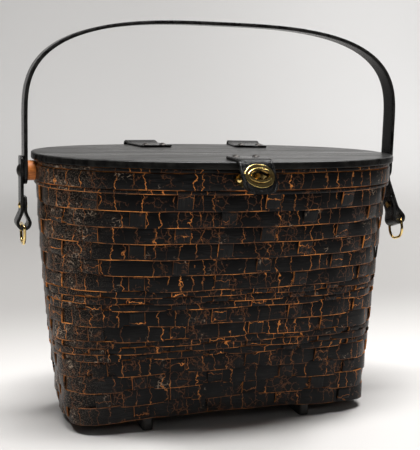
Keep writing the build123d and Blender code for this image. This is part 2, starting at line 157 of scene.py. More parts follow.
def even_line(points: Array, step: float) -> Array:
    """Points read at even steps along a line.

    Args:
        points: Points of the line.
        step: Length of one step.

    Returns:
        New points from its start to its end.
    """
    lengths = run_length(points)
    count = max(int(lengths[-1] / step), 2)
    return resample(points, lengths, np.linspace(0.0, lengths[-1], count))


def fine_ends(points: Array, step: float, reach: float, end_points: int = 12) -> Array:
    """Even points along a line, closer together near both ends.

    Args:
        points: Points of the line.
        step: Length of one step away from the ends.
        reach: Length at each end where points crowd.
        end_points: Points along that length.

    Returns:
        New points from its start to its end.
    """
    lengths = run_length(points)
    total = lengths[-1]
    middle = np.arange(reach, total - reach, step)
    close = reach * (1 - np.cos(np.linspace(0, math.pi / 2, end_points)))
    places = np.concatenate((close[:-1], middle, total - close[::-1]))
    return resample(points, lengths, np.unique(places))


def oval_share(share: float, square: float) -> float:
    """Share of one half axis that a superellipse keeps at a share of the other."""
    return (1 - share ** square) ** (1 / square)


def oval_outward(x: float, y: float, length: float, depth: float, square: float) -> Array:
    """Flat unit normal of a superellipse at one of its points.

    Args:
        x: Place of the point along the length.
        y: Place of the point along the depth.
        length: Half length.
        depth: Half depth.
        square: Squareness, 2 for an ellipse.

    Returns:
        Normal in the plane of X and Y.
    """
    gx = math.copysign((abs(x) / length) ** (square - 1) / length, x)
    gy = math.copysign((abs(y) / depth) ** (square - 1) / depth, y)
    return unit(np.array((gx, gy, 0.0)))


def add_object(name: str, data: bpy.types.ID) -> Piece:
    """New object at the origin that carries a mesh, a lamp or a camera.

    Args:
        name: Name of the object.
        data: What it carries.

    Returns:
        The object, linked to the scene.
    """
    piece = bpy.data.objects.new(name, data)
    bpy.context.scene.collection.objects.link(piece)
    return piece


def shade_smooth(mesh: Mesh) -> None:
    """Mark every face of a mesh as smooth."""
    mesh.polygons.foreach_set("use_smooth", [True] * len(mesh.polygons))
    mesh.update()


def store(mesh: Mesh, name: str, values: Sequence) -> None:
    """Store numbers or vectors on a mesh for its node trees and materials.

    Args:
        mesh: Mesh that keeps them.
        name: Name that they are read by.
        values: One number or one vector for each vertex.
    """
    numbers = np.asarray(values, np.float32)
    kind, key = ("FLOAT", "value") if numbers.ndim == 1 else ("FLOAT_VECTOR", "vector")
    layer = mesh.attributes.new(name, kind, "POINT")
    layer.data.foreach_set(key, numbers.ravel())


def outward_faces(mesh: Mesh) -> None:
    """Turn a closed mesh's faces so that its volume counts as positive.

    Args:
        mesh: Closed mesh.
    """
    mesh.update()
    volume = 0.0
    for face in mesh.polygons:
        volume += face.center.dot(face.normal) * face.area
    if volume < 0:
        mesh.flip_normals()


def loft(name: str, rings: Sequence[Array]) -> Mesh:
    """Closed mesh through rings of points, capped at both ends.

    Args:
        name: Name of the mesh.
        rings: Rings in order, each with the same number of points.

    Returns:
        Mesh whose faces look outward.
    """
    count = len(rings[0])
    last = (len(rings) - 1) * count
    faces = []
    for start in range(0, last, count):
        for j in range(count):
            n = (j + 1) % count
            faces.append((start + j, start + n, start + count + n, start + count + j))
    faces.append(tuple(reversed(range(count))))
    faces.append(tuple(range(last, last + count)))
    mesh = bpy.data.meshes.new(name)
    mesh.from_pydata(np.concatenate(rings).tolist(), [], faces)
    outward_faces(mesh)
    return mesh


def baked(piece: Piece) -> Mesh:
    """Plain mesh of a piece with its modifiers applied."""
    view = bpy.context.evaluated_depsgraph_get()
    return bpy.data.meshes.new_from_object(piece.evaluated_get(view))


def settle(piece: Piece, body: Body) -> Piece:
    """Let a piece ride on a body.

    Args:
        piece: New piece.
        body: Body that carries it.

    Returns:
        The same piece.
    """
    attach(piece, body.value)
    LOG.info("%s: %d faces on %s", piece.name, len(piece.data.polygons), body.value)
    return piece


class NodeWriter:
    """Adds nodes to a tree and links them."""

    def __init__(self, tree: bpy.types.NodeTree) -> None:
        """Keep the tree that is written."""
        self.tree = tree

    def put(self, socket: Socket, value: Value) -> None:
        """Link a socket to another one, or set its constant.

        Args:
            socket: Input of a node.
            value: Output of another node, or a constant.
        """
        if isinstance(value, Socket):
            self.tree.links.new(value, socket)
        else:
            socket.default_value = value

    def node(self, kind: str, inputs: dict | None = None, **options: object) -> bpy.types.Node:
        """Add a node.

        Args:
            kind: Type of the node.
            inputs: Constants or sockets by the name or number of the input.
            options: Properties of the node, set before its inputs.

        Returns:
            The new node.
        """
        node = self.tree.nodes.new(kind)
        for key, value in options.items():
            setattr(node, key, value)
        for key, value in (inputs or {}).items():
            self.put(node.inputs[key], value)
        return node


class Shader(NodeWriter):
    """Writes one procedural material, node by node."""

    # Sockets of a colour mix: its share and two colours, and its result
    MIX_INPUTS = (0, 6, 7)
    MIX_OUTPUT = 2

    def __init__(self, name: str) -> None:
        """Start a material with a principled surface.

        Args:
            name: Name of the material.
        """
        self.material = bpy.data.materials.new(name)
        self.material.use_nodes = True
        super().__init__(self.material.node_tree)
        self.tree.nodes.clear()
        self.surface = self.node("ShaderNodeBsdfPrincipled")
        self.node("ShaderNodeOutputMaterial", {"Surface": self.surface.outputs["BSDF"]})

    def set(self, **values: Value) -> None:
        """Set inputs of the surface.

        Args:
            values: Constants or sockets by input name, with low lines for blanks.
        """
        for key, value in values.items():
            words = ["IOR" if word == "ior" else word.capitalize() for word in key.split("_")]
            self.put(self.surface.inputs[" ".join(words)], value)

    def math(self, operation: str, *values: Value, clamp: bool = False) -> Socket:
        """Result of an operation on numbers.

        Args:
            operation: Name of the operation.
            values: Constants or sockets in order.
            clamp: Whether the result is held between 0 and 1.

        Returns:
            Socket of the result.
        """
        inputs = dict(enumerate(values))
        return self.node("ShaderNodeMath", inputs, operation=operation, use_clamp=clamp).outputs[0]

    def times(self, first: Value, *others: Value) -> Value:
        """Product of numbers.

        Args:
            first: Constant or socket.
            others: Further ones.

        Returns:
            Socket of the product.
        """
        product = first
        for value in others:
            product = self.math("MULTIPLY", product, value)
        return product

    def affine(self, value: Value, gain: Value, base: Value) -> Socket:
        """Value times a gain, plus a base."""
        return self.math("MULTIPLY_ADD", value, gain, base)

    def most(self, first: Value, second: Value) -> Socket:
        """Greater of two values."""
        return self.math("MAXIMUM", first, second)

    def rest(self, value: Value) -> Socket:
        """What a value leaves of one."""
        return self.math("SUBTRACT", 1.0, value)

    def rise(self, value: Value, low: Value, high: Value) -> Socket:
        """Smooth step of a value, from zero at low to one at high."""
        inputs = {"Value": value, "From Min": low, "From Max": high}
        return self.node("ShaderNodeMapRange", inputs, interpolation_type="SMOOTHSTEP").outputs["Result"]

    def attribute(self, name: str) -> Socket:
        """Number stored on the mesh under a name."""
        return self.node("ShaderNodeAttribute", attribute_name=name).outputs["Fac"]

    def place(self) -> Socket:
        """Position in the object's own frame."""
        return self.node("ShaderNodeTexCoord").outputs["Object"]

    def parts(self, vector: Value) -> tuple[Socket, ...]:
        """The three components of a vector."""
        return tuple(self.node("ShaderNodeSeparateXYZ", {"Vector": vector}).outputs)

    def vector(self, x: Value, y: Value, z: Value) -> Socket:
        """Vector made of three numbers."""
        return self.node("ShaderNodeCombineXYZ", {"X": x, "Y": y, "Z": z}).outputs[0]

    def stretch(self, vector: Value, scale: Triple, shift: Triple = (0, 0, 0)) -> Socket:
        """Vector scaled and shifted along its axes."""
        inputs = {"Vector": vector, "Scale": scale, "Location": shift}
        return self.node("ShaderNodeMapping", inputs).outputs[0]

    def cells(self, vector: Value, scale: float) -> Socket:
        """Distance to the border of scattered cells, in cell widths."""
        inputs = {"Vector": vector, "Scale": scale}
        return self.node("ShaderNodeTexVoronoi", inputs, feature="DISTANCE_TO_EDGE").outputs["Distance"]

    def lines(self, value: Value) -> Socket:
        """Distance to the nearest of lines scattered about one apart.

        Args:
            value: Place along the lines' common axis.

        Returns:
            Socket of the distance.
        """
        options = {"feature": "DISTANCE_TO_EDGE", "voronoi_dimensions": "1D"}
        node = self.node("ShaderNodeTexVoronoi", {"W": value, "Scale": 1.0}, **options)
        return node.outputs["Distance"]

    def mix(self, share: Value, first: Value, second: Value) -> Socket:
        """Colour between two others.

        Args:
            share: Share of the second colour.
            first: Colour or socket at a share of zero.
            second: Colour or socket at a share of one.

        Returns:
            Socket of the colour.
        """
        node = self.node("ShaderNodeMix", data_type="RGBA")
        for index, value in zip(self.MIX_INPUTS, (share, first, second)):
            shown = (*value, 1.0) if isinstance(value, tuple) else value
            self.put(node.inputs[index], shown)
        return node.outputs[self.MIX_OUTPUT]

    def bump(self, height: Value, depth: float, strength: float = 1.0) -> Socket:
        """Normal of a surface with a relief of a given depth."""
        inputs = {"Height": height, "Distance": depth, "Strength": strength}
        return self.node("ShaderNodeBump", inputs).outputs["Normal"]


@dataclass(frozen=True)
class Patches:
    """Noise that sets in between two of its values, low and high.

    Its scale counts waves in a metre.
    """

    scale: float
    low: float = 0.0
    high: float = 1.0
    detail: float = 2.0
    rough: float = 0.5

    def noise(self, s: Shader, place: Value) -> Socket:
        """The noise at a place, between 0 and 1."""
        inputs = {"Vector": place, "Scale": self.scale, "Detail": self.detail, "Roughness": self.rough}
        return s.node("ShaderNodeTexNoise", inputs).outputs["Fac"]

    def share(self, s: Shader, noise: Value) -> Socket:
        """How far a noise has set in, from 0 to 1."""
        return s.rise(noise, self.low, self.high)

    def at(self, s: Shader, place: Value) -> Socket:
        """How far the noise has set in at a place."""
        return self.share(s, self.noise(s, place))

    def lifted(self, s: Shader, place: Value, age: Value, lift: float) -> Socket:
        """How far the noise has set in at a place, where age lifts it."""
        return self.share(s, s.affine(age, lift, self.noise(s, place)))


class Finish:
    """A surface finish that makes its material once."""

    made: dict[str, bpy.types.Material] = {}
    name: str

    def write(self, s: Shader) -> None:
        """Write the material's nodes."""
        raise NotImplementedError

    def material(self) -> bpy.types.Material:
        """The finish as a material.

        Returns:
            The material, written on the first call.
        """
        if self.name not in Finish.made:
            shader = Shader(self.name)
            self.write(shader)
            Finish.made[self.name] = shader.material
        return Finish.made[self.name]


@dataclass(frozen=True)
class CracklePaint(Finish):
    """Black paint on a splint, cracked and worn down to orange wood.

    Pairs are a gain and a base, or the values between which an effect sets in.
    """

    name: str
    half_width: float
    paint: Triple = (0.0066, 0.0066, 0.0068)
    faded: Triple = (0.0270, 0.0264, 0.0260)
    vivid: Triple = (0.98, 0.360, 0.090)
    dim: Triple = (0.150, 0.064, 0.031)
    # Pale colour of fine crackle and specks: partly real pale crackle, partly a painted highlight.
    pale_and_glint: Triple = (0.80, 0.60, 0.43)
    # Towards the ends the paint breaks more and gathers pale marks, partly painted highlight; the right
    # end takes a smaller share.
    left_end: Pair = (0.100, 0.150)
    right_end: Pair = (0.110, 0.160)
    right_age: float = 0.6
    other_shift: Triple = (0.7, 0.3, 2.0)

    # Worn edges
    edge_line: float = 0.00080
    edge_cover: float = 0.40
    edge_fade: float = 0.10
    edge_scale: float = 17.0
    edge_rough: float = 0.55
    edge_apart: float = 2.0
    rubbing: Patches = Patches(260.0, 0.28, 0.50, 3.0, 0.6)

    # Cracks across the splint
    cross_gap: float = 0.0112
    crack: float = 0.00058
    sways: tuple = ((Patches(150.0, detail=1.0), 0.009), (Patches(620.0, detail=1.0), 0.0022))
    seed_step: float = 31.0
    runs: Patches = Patches(70.0, 0.45, 0.54, 2.0, 0.6)
    run_lift: float = 0.06
    thinning: Patches = Patches(420.0)
    width_shares: Pair = (2.2, 0.25)
    core_share: float = 0.55
    glow: Patches = Patches(38.0, 0.40, 0.62, 3.0, 0.6)
    # Painted shade: the cracks' vivid colour dims towards the base, down to the share kept there.
    base_shade_height: Pair = (0.0, 0.11)
    base_shade_keep: float = 0.35

    # Branches and fine crackle
    branch_cell: float = 0.0066
    branch_width: float = 0.00050
    branches: Patches = Patches(55.0, 0.50, 0.58, 3.0, 0.6)
    branch_lift: float = 0.06
    branch_cover: float = 0.85
    fine_cell: float = 0.0031
    fine_width: float = 0.00030
    fine_stretch: Triple = (0.62, 1.0, 1.0)
    crazing: Patches = Patches(48.0, 0.62, 0.74, 3.0, 0.6)
    craze_lift: float = 0.13
    craze_breaks: Patches = Patches(330.0, 0.42, 0.60)
    fine_cover: float = 0.65
    net_stir: float = 500.0
    net_stir_share: float = 0.5
    net_line: Pair = (0.25, 0.75)

    # Ground, sheen and relief
    fibres: Patches = Patches(1500.0, 0.35, 0.75, 3.0, 0.6)
    fibre_stretch: Triple = (0.05, 1.0, 1.0)
    clouds: Patches = Patches(45.0, 0.35, 0.70)
    specks: Patches = Patches(1100.0, 0.50, 0.66)
    speck_cover: float = 0.22
    paint_roughness: Pair = (0.20, 0.30)
    bare_roughness: float = 0.75
    shine: float = 0.09
    relief: float = 0.00025
    fibre_relief: float = 0.35
    crack_relief: float = 0.9

    def write(self, s: Shader) -> None:
        """Write worn edges, jagged cracks across the splint, branches and fine crackle, with pale marks
        towards the ends that are partly painted highlight, and painted shade that dims the cracks towards
        the base.

        Args:
            s: Material being written.
        """
        along, across, seed, bend = (s.attribute(key) for key in ("along", "across", "seed", "bend"))
        flat = s.vector(along, s.times(across, self.half_width), seed)
        other = s.stretch(flat, (1, 1, 1), self.other_shift)
        x, _, z = s.parts(s.place())
        right = s.times(s.rise(x, *self.right_end), self.right_age)
        end = s.most(s.rise(s.times(x, -1.0), *self.left_end), right)

        edge = self.edge_lines(s, along, across, seed)
        cross, heat = self.cross_cracks(s, flat, along, seed, s.most(end, bend))
        bare = s.math("MAXIMUM", cross, edge, clamp=True)
        torn = self.branches.lifted(s, other, end, self.branch_lift)
        branch = s.times(self.net(s, other, self.branch_cell, self.branch_width), torn)
        crazed = self.crazing.lifted(s, flat, end, self.craze_lift)
        longer = s.stretch(flat, self.fine_stretch)
        net = self.net(s, longer, self.fine_cell, self.fine_width)
        fine = s.times(net, crazed, self.craze_breaks.at(s, other))

        fibre = self.fibres.noise(s, s.stretch(flat, self.fibre_stretch))
        dull = s.times(self.fibres.share(s, fibre), self.clouds.at(s, flat))
        # Pale specks towards both ends: partly paint tone, partly a painted highlight.
        end_specks_and_glints = s.times(end, end, self.specks.at(s, flat))
        pale_crackle_and_glints = s.most(s.times(fine, self.fine_cover), s.times(end_specks_and_glints, self.speck_cover))
        ground = s.mix(dull, self.paint, self.faded)
        ground = s.mix(s.times(branch, self.branch_cover), ground, self.dim)
        ground = s.mix(pale_crackle_and_glints, ground, self.pale_and_glint)
        # Painted shade: cracks are dimmer towards the base.
        painted_base_shade = s.affine(s.rise(z, *self.base_shade_height), 1 - self.base_shade_keep, self.base_shade_keep)
        hot = s.mix(s.times(heat, painted_base_shade), self.dim, self.vivid)
        s.set(base_color=s.mix(bare, ground, hot))

        gloss = s.affine(dull, *self.paint_roughness)
        s.set(roughness=s.most(gloss, s.times(bare, self.bare_roughness)))
        s.set(specular_ior_level=self.shine)
        cracks = s.most(bare, s.most(branch, fine))
        height = s.affine(fibre, self.fibre_relief, s.times(cracks, -self.crack_relief))
        s.set(normal=s.bump(height, self.relief))

    def edge_lines(self, s: Shader, along: Value, across: Value, seed: Value) -> Socket:
        """Lines of bare wood along the splint's two edges.

        Args:
            s: Material being written.
            along: Length along the splint.
            across: Place across it, from -1 to 1.
            seed: Random number of the splint.

        Returns:
            One where the edge is worn, zero where paint holds.
        """
        away = s.times(s.rest(s.math("ABSOLUTE", across)), self.half_width)
        side = s.vector(along, s.times(s.math("SIGN", across), self.edge_apart), seed)
        full_cover = self.edge_cover + self.edge_fade
        cover = Patches(self.edge_scale, self.edge_cover, full_cover, rough=self.edge_rough)
        close = s.rest(s.rise(away, self.edge_line / 2, self.edge_line))
        return s.times(close, cover.at(s, side), self.rubbing.at(s, side))

    def cross_cracks(
        self, s: Shader, flat: Value, along: Value, seed: Value, old: Value
    ) -> tuple[Socket, Socket]:
        """Jagged cracks across the splint and how strongly they glow.

        Args:
            s: Material being written.
            flat: Place on the splint laid flat.
            along: Length along the splint.
            seed: Random number of the splint.
            old: Where the paint is more broken, from 0 to 1.

        Returns:
            One on a crack and zero off it, and the share of vivid colour.
        """
        sway = along
        for waves, size in self.sways:
            sway = s.affine(waves.noise(s, flat), size, sway)
        steps = s.affine(seed, self.seed_step, s.math("DIVIDE", sway, self.cross_gap))
        shown = self.runs.lifted(s, s.vector(along, 0.0, seed), old, self.run_lift)
        half = self.crack / 2 / self.cross_gap
        wide = s.affine(self.thinning.noise(s, flat), *(half * share for share in self.width_shares))
        away = s.rise(s.lines(steps), s.times(wide, self.core_share), wide)
        return s.times(s.rest(away), shown), self.glow.at(s, flat)

    def net(self, s: Shader, flat: Value, cell: float, width: float) -> Socket:
        """Net of cracks round cells.

        Args:
            s: Material being written.
            flat: Place on the splint laid flat.
            cell: Size of the cells.
            width: Width of the cracks.

        Returns:
            One on a crack and zero off it.
        """
        stir = s.node("ShaderNodeTexNoise", {"Vector": flat, "Scale": self.net_stir}).outputs["Color"]
        small = s.stretch(stir, (cell * self.net_stir_share,) * 3)
        bent = s.node("ShaderNodeVectorMath", {0: flat, 1: small}, operation="ADD").outputs[0]
        inner, outer = (width / cell * share for share in self.net_line)
        return s.rest(s.rise(s.cells(bent, 1 / cell), inner, outer))


@dataclass(frozen=True)
class LidPaint(Finish):
    """Satin black paint on a board whose grain runs along X."""

    name: str = "lid_paint"
    dark: Triple = (0.0050, 0.0049, 0.0048)
    light: Triple = (0.026, 0.025, 0.023)
    grain: Patches = Patches(260.0, 0.36, 0.68, 4.0, 0.65)
    grain_stretch: Triple = (0.05, 1.0, 0.3)
    grain_cover: float = 0.8
    grain_roughness: float = 0.16
    sheen: Patches = Patches(60.0, detail=3.0, rough=0.6)
    sheen_stretch: Triple = (0.12, 1.0, 1.0)
    sheen_roughness: Pair = (0.40, 0.08)
    top: float = 0.2455
    edge_drops: Pair = (0.0014, 0.0004)
    shine: Pair = (0.21, 0.04)
    relief: float = 0.00006
    relief_strength: float = 0.7

    def write(self, s: Shader) -> None:
        """Write the grain, the brushed sheen and the duller edge.

        Args:
            s: Material being written.
        """
        place = s.place()
        grain = self.grain.noise(s, s.stretch(place, self.grain_stretch))
        line = self.grain.share(s, grain)
        s.set(base_color=s.mix(s.times(line, self.grain_cover), self.dark, self.light))
        broad = self.sheen.noise(s, s.stretch(place, self.sheen_stretch))
        gloss = s.affine(broad, *self.sheen_roughness)
        s.set(roughness=s.affine(line, self.grain_roughness, gloss))
        face = s.rise(s.parts(place)[2], *(self.top - drop for drop in self.edge_drops))
        s.set(specular_ior_level=s.affine(face, *self.shine))
        s.set(normal=s.bump(grain, self.relief, self.relief_strength))


@dataclass(frozen=True)
class StrapLeather(Finish):
    """Black strap leather with fine grain, and burnished edges painted lighter as a highlight."""

    name: str = "strap_leather"
    dark: Triple = (0.0022, 0.0022, 0.0022)
    light: Triple = (0.0060, 0.0058, 0.0056)
    # Edge colour: partly burnished leather, partly a painted highlight along the edges.
    edge: Triple = (0.024, 0.023, 0.022)
    pebble_scale: float = 1150.0
    pebble_edge: Pair = (0.0, 0.35)
    wear: Patches = Patches(38.0, 0.45, 0.75, 3.0, 0.6)
    border: Pair = (0.88, 0.99)
    border_wear_and_highlight: Patches = Patches(160.0, 0.35, 0.62)
    crease: Triple = (0.80, 0.835, 0.87)
    roughness: Pair = (0.12, 0.14)
    shine: float = 0.12
    relief: float = 0.00009
    crease_relief: float = 2.5
    pebble_relief: float = 0.45

    def write(self, s: Shader) -> None:
        """Write pebbled grain, soft wear, a creased border and a lighter edge that is partly painted
        highlight.

        Args:
            s: Material being written.
        """
        place = s.place()
        across = s.math("ABSOLUTE", s.attribute("across"))
        cloud = self.wear.noise(s, place)
        ground = s.mix(self.wear.share(s, cloud), self.dark, self.light)
        # Painted highlight, partly burnished wear: lighter colour along the strap's edges.
        rim = s.times(s.rise(across, *self.border), self.border_wear_and_highlight.at(s, place))
        s.set(base_color=s.mix(rim, ground, self.edge))
        s.set(roughness=s.affine(cloud, *self.roughness), specular_ior_level=self.shine)
        pebble = s.rise(s.cells(place, self.pebble_scale), *self.pebble_edge)
        start, middle, finish = self.crease
        crease = s.math("SUBTRACT", s.rise(across, start, middle), s.rise(across, middle, finish))
        height = s.affine(crease, -self.crease_relief, s.times(pebble, self.pebble_relief))
        s.set(normal=s.bump(height, self.relief))


@dataclass(frozen=True)
class Metal(Finish):
    """Worn metal with smudges and fine scratches."""

    name: str
    bright: Triple
    dull: Triple
    gloss: float
    smudges: Patches = Patches(210.0, 0.45, 0.72, 4.0, 0.6)
    smear: float = 0.18
    hairs: Patches = Patches(3800.0)
    hair_stretch: Triple = (0.12, 1.0, 1.0)
    relief: float = 0.00004
    relief_strength: float = 0.5

    def write(self, s: Shader) -> None:
        """Write smudges, tarnish and hairline scratches.

        Args:
            s: Material being written.
        """
        place = s.place()
        smudge = self.smudges.noise(s, place)
        tarnish = self.smudges.share(s, smudge)
        s.set(base_color=s.mix(tarnish, self.bright, self.dull), metallic=1.0)
        s.set(roughness=s.affine(smudge, self.smear, self.gloss - self.smear / 2))
        hair = self.hairs.noise(s, s.stretch(place, self.hair_stretch))
        s.set(normal=s.bump(hair, self.relief, self.relief_strength))


@dataclass(frozen=True)
class StainedWood(Finish):
    """Turned or sawn wood under stain, its grain along one axis."""

    name: str
    early: Triple
    late: Triple
    run: Triple
    gloss: float = 0.45
    grain: Patches = Patches(900.0, 0.36, 0.66, 4.0, 0.65)
    bands: Patches = Patches(260.0, 0.30, 0.65)
    grain_roughness: float = 0.20
    relief: float = 0.00012
    relief_strength: float = 0.8

    def write(self, s: Shader) -> None:
        """Write grain lines and soft sheen.

        Args:
            s: Material being written.
        """
        drawn = s.stretch(s.place(), self.run)
        grain = self.grain.noise(s, drawn)
        line = s.times(self.grain.share(s, grain), self.bands.at(s, drawn))
        s.set(base_color=s.mix(line, self.early, self.late))
        s.set(roughness=s.affine(grain, self.grain_roughness, self.gloss))
        s.set(normal=s.bump(grain, self.relief, self.relief_strength))


@dataclass(frozen=True)
class SweepPaper(Finish):
    """Pale paper of the stage, with painted shade towards its back and its left, and a backdrop painted
    lighter to the right.
    """

    name: str = "sweep_paper"
    tooth: Patches = Patches(900.0)
    low_white: Triple = (0.56, 0.545, 0.53)
    high_white: Triple = (0.59, 0.575, 0.56)
    shaded: Triple = (0.31, 0.30, 0.29)
    backdrop_shaded_left: Triple = (0.55, 0.54, 0.53)
    backdrop_lit_right: Triple = (0.80, 0.79, 0.78)
    away: Pair = (0.05, 0.45)
    slant: Pair = (-1.6, -0.2)
    backdrop_light_rise: Pair = (0.5, 1.8)
    upward: Pair = (1.0, 2.2)
    roughness: float = 0.9
    shine: float = 0.1

    def write(self, s: Shader) -> None:
        """Write the white floor, its back and left in painted shade, and the wall behind, painted lighter
        to the right.

        Args:
            s: Material being written.
        """
        place = s.place()
        x, y, z = s.parts(place)
        white = s.mix(self.tooth.noise(s, place), self.low_white, self.high_white)
        # Painted shade: the floor darkens away from the front and towards the left.
        shade = s.times(s.rise(y, *self.away), s.rise(s.math("SUBTRACT", z, x), *self.slant))
        sheet = s.mix(shade, white, self.shaded)
        # Painted light: the backdrop is lighter to the right.
        wall = s.mix(s.rise(x, *self.backdrop_light_rise), self.backdrop_shaded_left, self.backdrop_lit_right)
        s.set(base_color=s.mix(s.rise(y, *self.upward), sheet, wall))
        s.set(roughness=self.roughness, specular_ior_level=self.shine)


LEATHER = StrapLeather()
BRASS = Metal("brass", (0.86, 0.64, 0.25), (0.30, 0.17, 0.045), 0.13)
# Brass darkened as painted shade and dark reflection inside the lock's window, for the knob and backing
# plate seen through it.
WINDOW_SHADE_BRASS = Metal("window_shade_brass", (0.24, 0.14, 0.04), (0.07, 0.036, 0.012), 0.22)
DARK_METAL = Metal("dark_metal", (0.055, 0.050, 0.046), (0.022, 0.020, 0.019), 0.42)
LID_PAINT = LidPaint()
PEG_WOOD = StainedWood("peg_wood", (0.66, 0.20, 0.030), (0.40, 0.10, 0.014), (0.25, 1.0, 1.0))
RUNNER_WOOD = StainedWood("runner_wood", (0.007, 0.006, 0.0055), (0.020, 0.013, 0.008), (1.0, 0.08, 1.0))


class SweepTree(NodeWriter):
    """Geometry Nodes tree that sweeps a flat rounded section along lines of edges.

    Each line carries the attributes facing, seed and bend. The mesh keeps them and gets
    along, the length run along its line, and across, from -1 to 1 over the section's width.
    """

    CORNER_POINTS = 3

    def __init__(self) -> None:
        """Build the tree."""
        super().__init__(bpy.data.node_groups.new("flat_sweep", "GeometryNodeTree"))
        self.inputs: dict[str, str] = {}
        self.add_input("Geometry", "NodeSocketGeometry")
        for name in SECTION_INPUTS:
            self.add_input(name, "NodeSocketFloat")
        self.add_input("Material", "NodeSocketMaterial")
        face = self.tree.interface
        face.new_socket("Geometry", in_out="OUTPUT", socket_type="NodeSocketGeometry")
        self.wire()

    def add_input(self, name: str, kind: str) -> None:
        """Add a named input and keep its identifier."""
        socket = self.tree.interface.new_socket(name, in_out="INPUT", socket_type=kind)
        self.inputs[name] = socket.identifier

    def stored(self, name: str, line: Socket, value: Socket) -> Socket:
        """Curve with a number stored on its points.

        Args:
            name: Name of the number.
            line: Curve that gets it.
            value: The number.

        Returns:
            Socket of the curve.
        """
        inputs = {"Geometry": line, "Name": name, "Value": value}
        node = self.node("GeometryNodeStoreNamedAttribute", inputs, data_type="FLOAT", domain="POINT")
        return node.outputs["Geometry"]

    def wire(self) -> None:
        """Add and link the tree's nodes: the lines, the section, then the sweep."""
        given = self.node("NodeGroupInput").outputs
        path = self.node("GeometryNodeMeshToCurve", {"Mesh": given["Geometry"]}).outputs["Curve"]
        facing = self.node("GeometryNodeInputNamedAttribute", {"Name": "facing"}, data_type="FLOAT_VECTOR")
        inputs = {"Curve": path, "Normal": facing.outputs["Attribute"]}
        turned = self.node("GeometryNodeSetCurveNormal", inputs, mode="FREE").outputs["Curve"]
        length = self.node("GeometryNodeSplineParameter").outputs["Length"]
        line = self.stored("along", turned, length)

        inputs = {"Width": given["Thickness"], "Height": given["Width"]}
        outline = self.node("GeometryNodeCurvePrimitiveQuadrilateral", inputs).outputs["Curve"]
        inputs = {"Curve": outline, "Radius": given["Rounding"], "Count": self.CORNER_POINTS}
        rounded = self.node("GeometryNodeFilletCurve", inputs, mode="POLY").outputs["Curve"]
        place = self.node("GeometryNodeInputPosition").outputs["Position"]
        y = self.node("ShaderNodeSeparateXYZ", {"Vector": place}).outputs["Y"]
        share = self.node("ShaderNodeMath", {0: y, 1: given["Width"]}, operation="DIVIDE").outputs[0]
        across = self.node("ShaderNodeMath", {0: share, 1: 2.0}, operation="MULTIPLY").outputs[0]
        section = self.stored("across", rounded, across)

        inputs = {"Curve": line, "Profile Curve": section, "Fill Caps": True}
        swept = self.node("GeometryNodeCurveToMesh", inputs).outputs["Mesh"]
        soft = self.node("GeometryNodeSetShadeSmooth", {"Geometry": swept}).outputs["Geometry"]
        real = self.node("GeometryNodeRealizeInstances", {"Geometry": soft}).outputs["Geometry"]
        inputs = {"Geometry": real, "Material": given["Material"]}
        dressed = self.node("GeometryNodeSetMaterial", inputs).outputs["Geometry"]
        self.node("NodeGroupOutput", {"Geometry": dressed})


def bake_tree(name: str, source: Mesh, tree: SweepTree, values: dict) -> Piece:
    """Run a node tree on a mesh and keep the result as a plain mesh.

    Args:
        name: Name of the new piece.
        source: Mesh that the tree starts from.
        tree: Tree with named inputs.
        values: Values of the inputs by name.

    Returns:
        Object with the plain mesh and no modifier.
    """
    helper = add_object(f"{name}_source", source)
    modifier = helper.modifiers.new("nodes", "NODES")
    modifier.node_group = tree.tree
    for key, value in values.items():
        modifier[tree.inputs[key]] = value
    mesh = baked(helper)
    mesh.name = name
    bpy.data.objects.remove(helper)
    return add_object(name, mesh)


@dataclass
class Strip:
    """Line that one splint follows, with its facing and its bends."""

    points: Array
    facing: Array
    bend: Array
    closed: bool


def strips_mesh(name: str, strips: Sequence[Strip]) -> Mesh:
    """Lines of edges for the sweep tree.

    Args:
        name: Name of the mesh.
        strips: Lines to write, each with a random seed of its own.

    Returns:
        Mesh of edges with the attributes facing, bend and seed.
    """
    edges = []
    seeds = []
    start = 0
    for strip in strips:
        count = len(strip.points)
        last = count if strip.closed else count - 1
        edges += [(start + k, start + (k + 1) % count) for k in range(last)]
        seeds += [RANDOM.uniform(0.0, SEED_SPAN)] * count
        start += count
    mesh = bpy.data.meshes.new(name)
    mesh.from_pydata(np.concatenate([strip.points for strip in strips]).tolist(), edges, [])
    store(mesh, "facing", np.concatenate([strip.facing for strip in strips]))
    store(mesh, "bend", np.concatenate([strip.bend for strip in strips]))
    store(mesh, "seed", seeds)
    return mesh


def sweep_splints(
    name: str, strips: Sequence[Strip], tree: SweepTree, sizes: Triple, finish: Finish
) -> Piece:
    """Sweep splints along their lines as one piece of the basket.

    Args:
        name: Name of the piece.
        strips: Lines of the splints.
        tree: Tree that sweeps them.
        sizes: Width, thickness and rounding of the section.
        finish: Paint of the splints.

    Returns:
        The piece, riding on the basket.
    """
    values = dict(zip(SECTION_INPUTS, sizes))
    values["Material"] = finish.material()
    piece = bake_tree(name, strips_mesh(f"{name}_lines", strips), tree, values)
    return settle(piece, Body.BASKET)


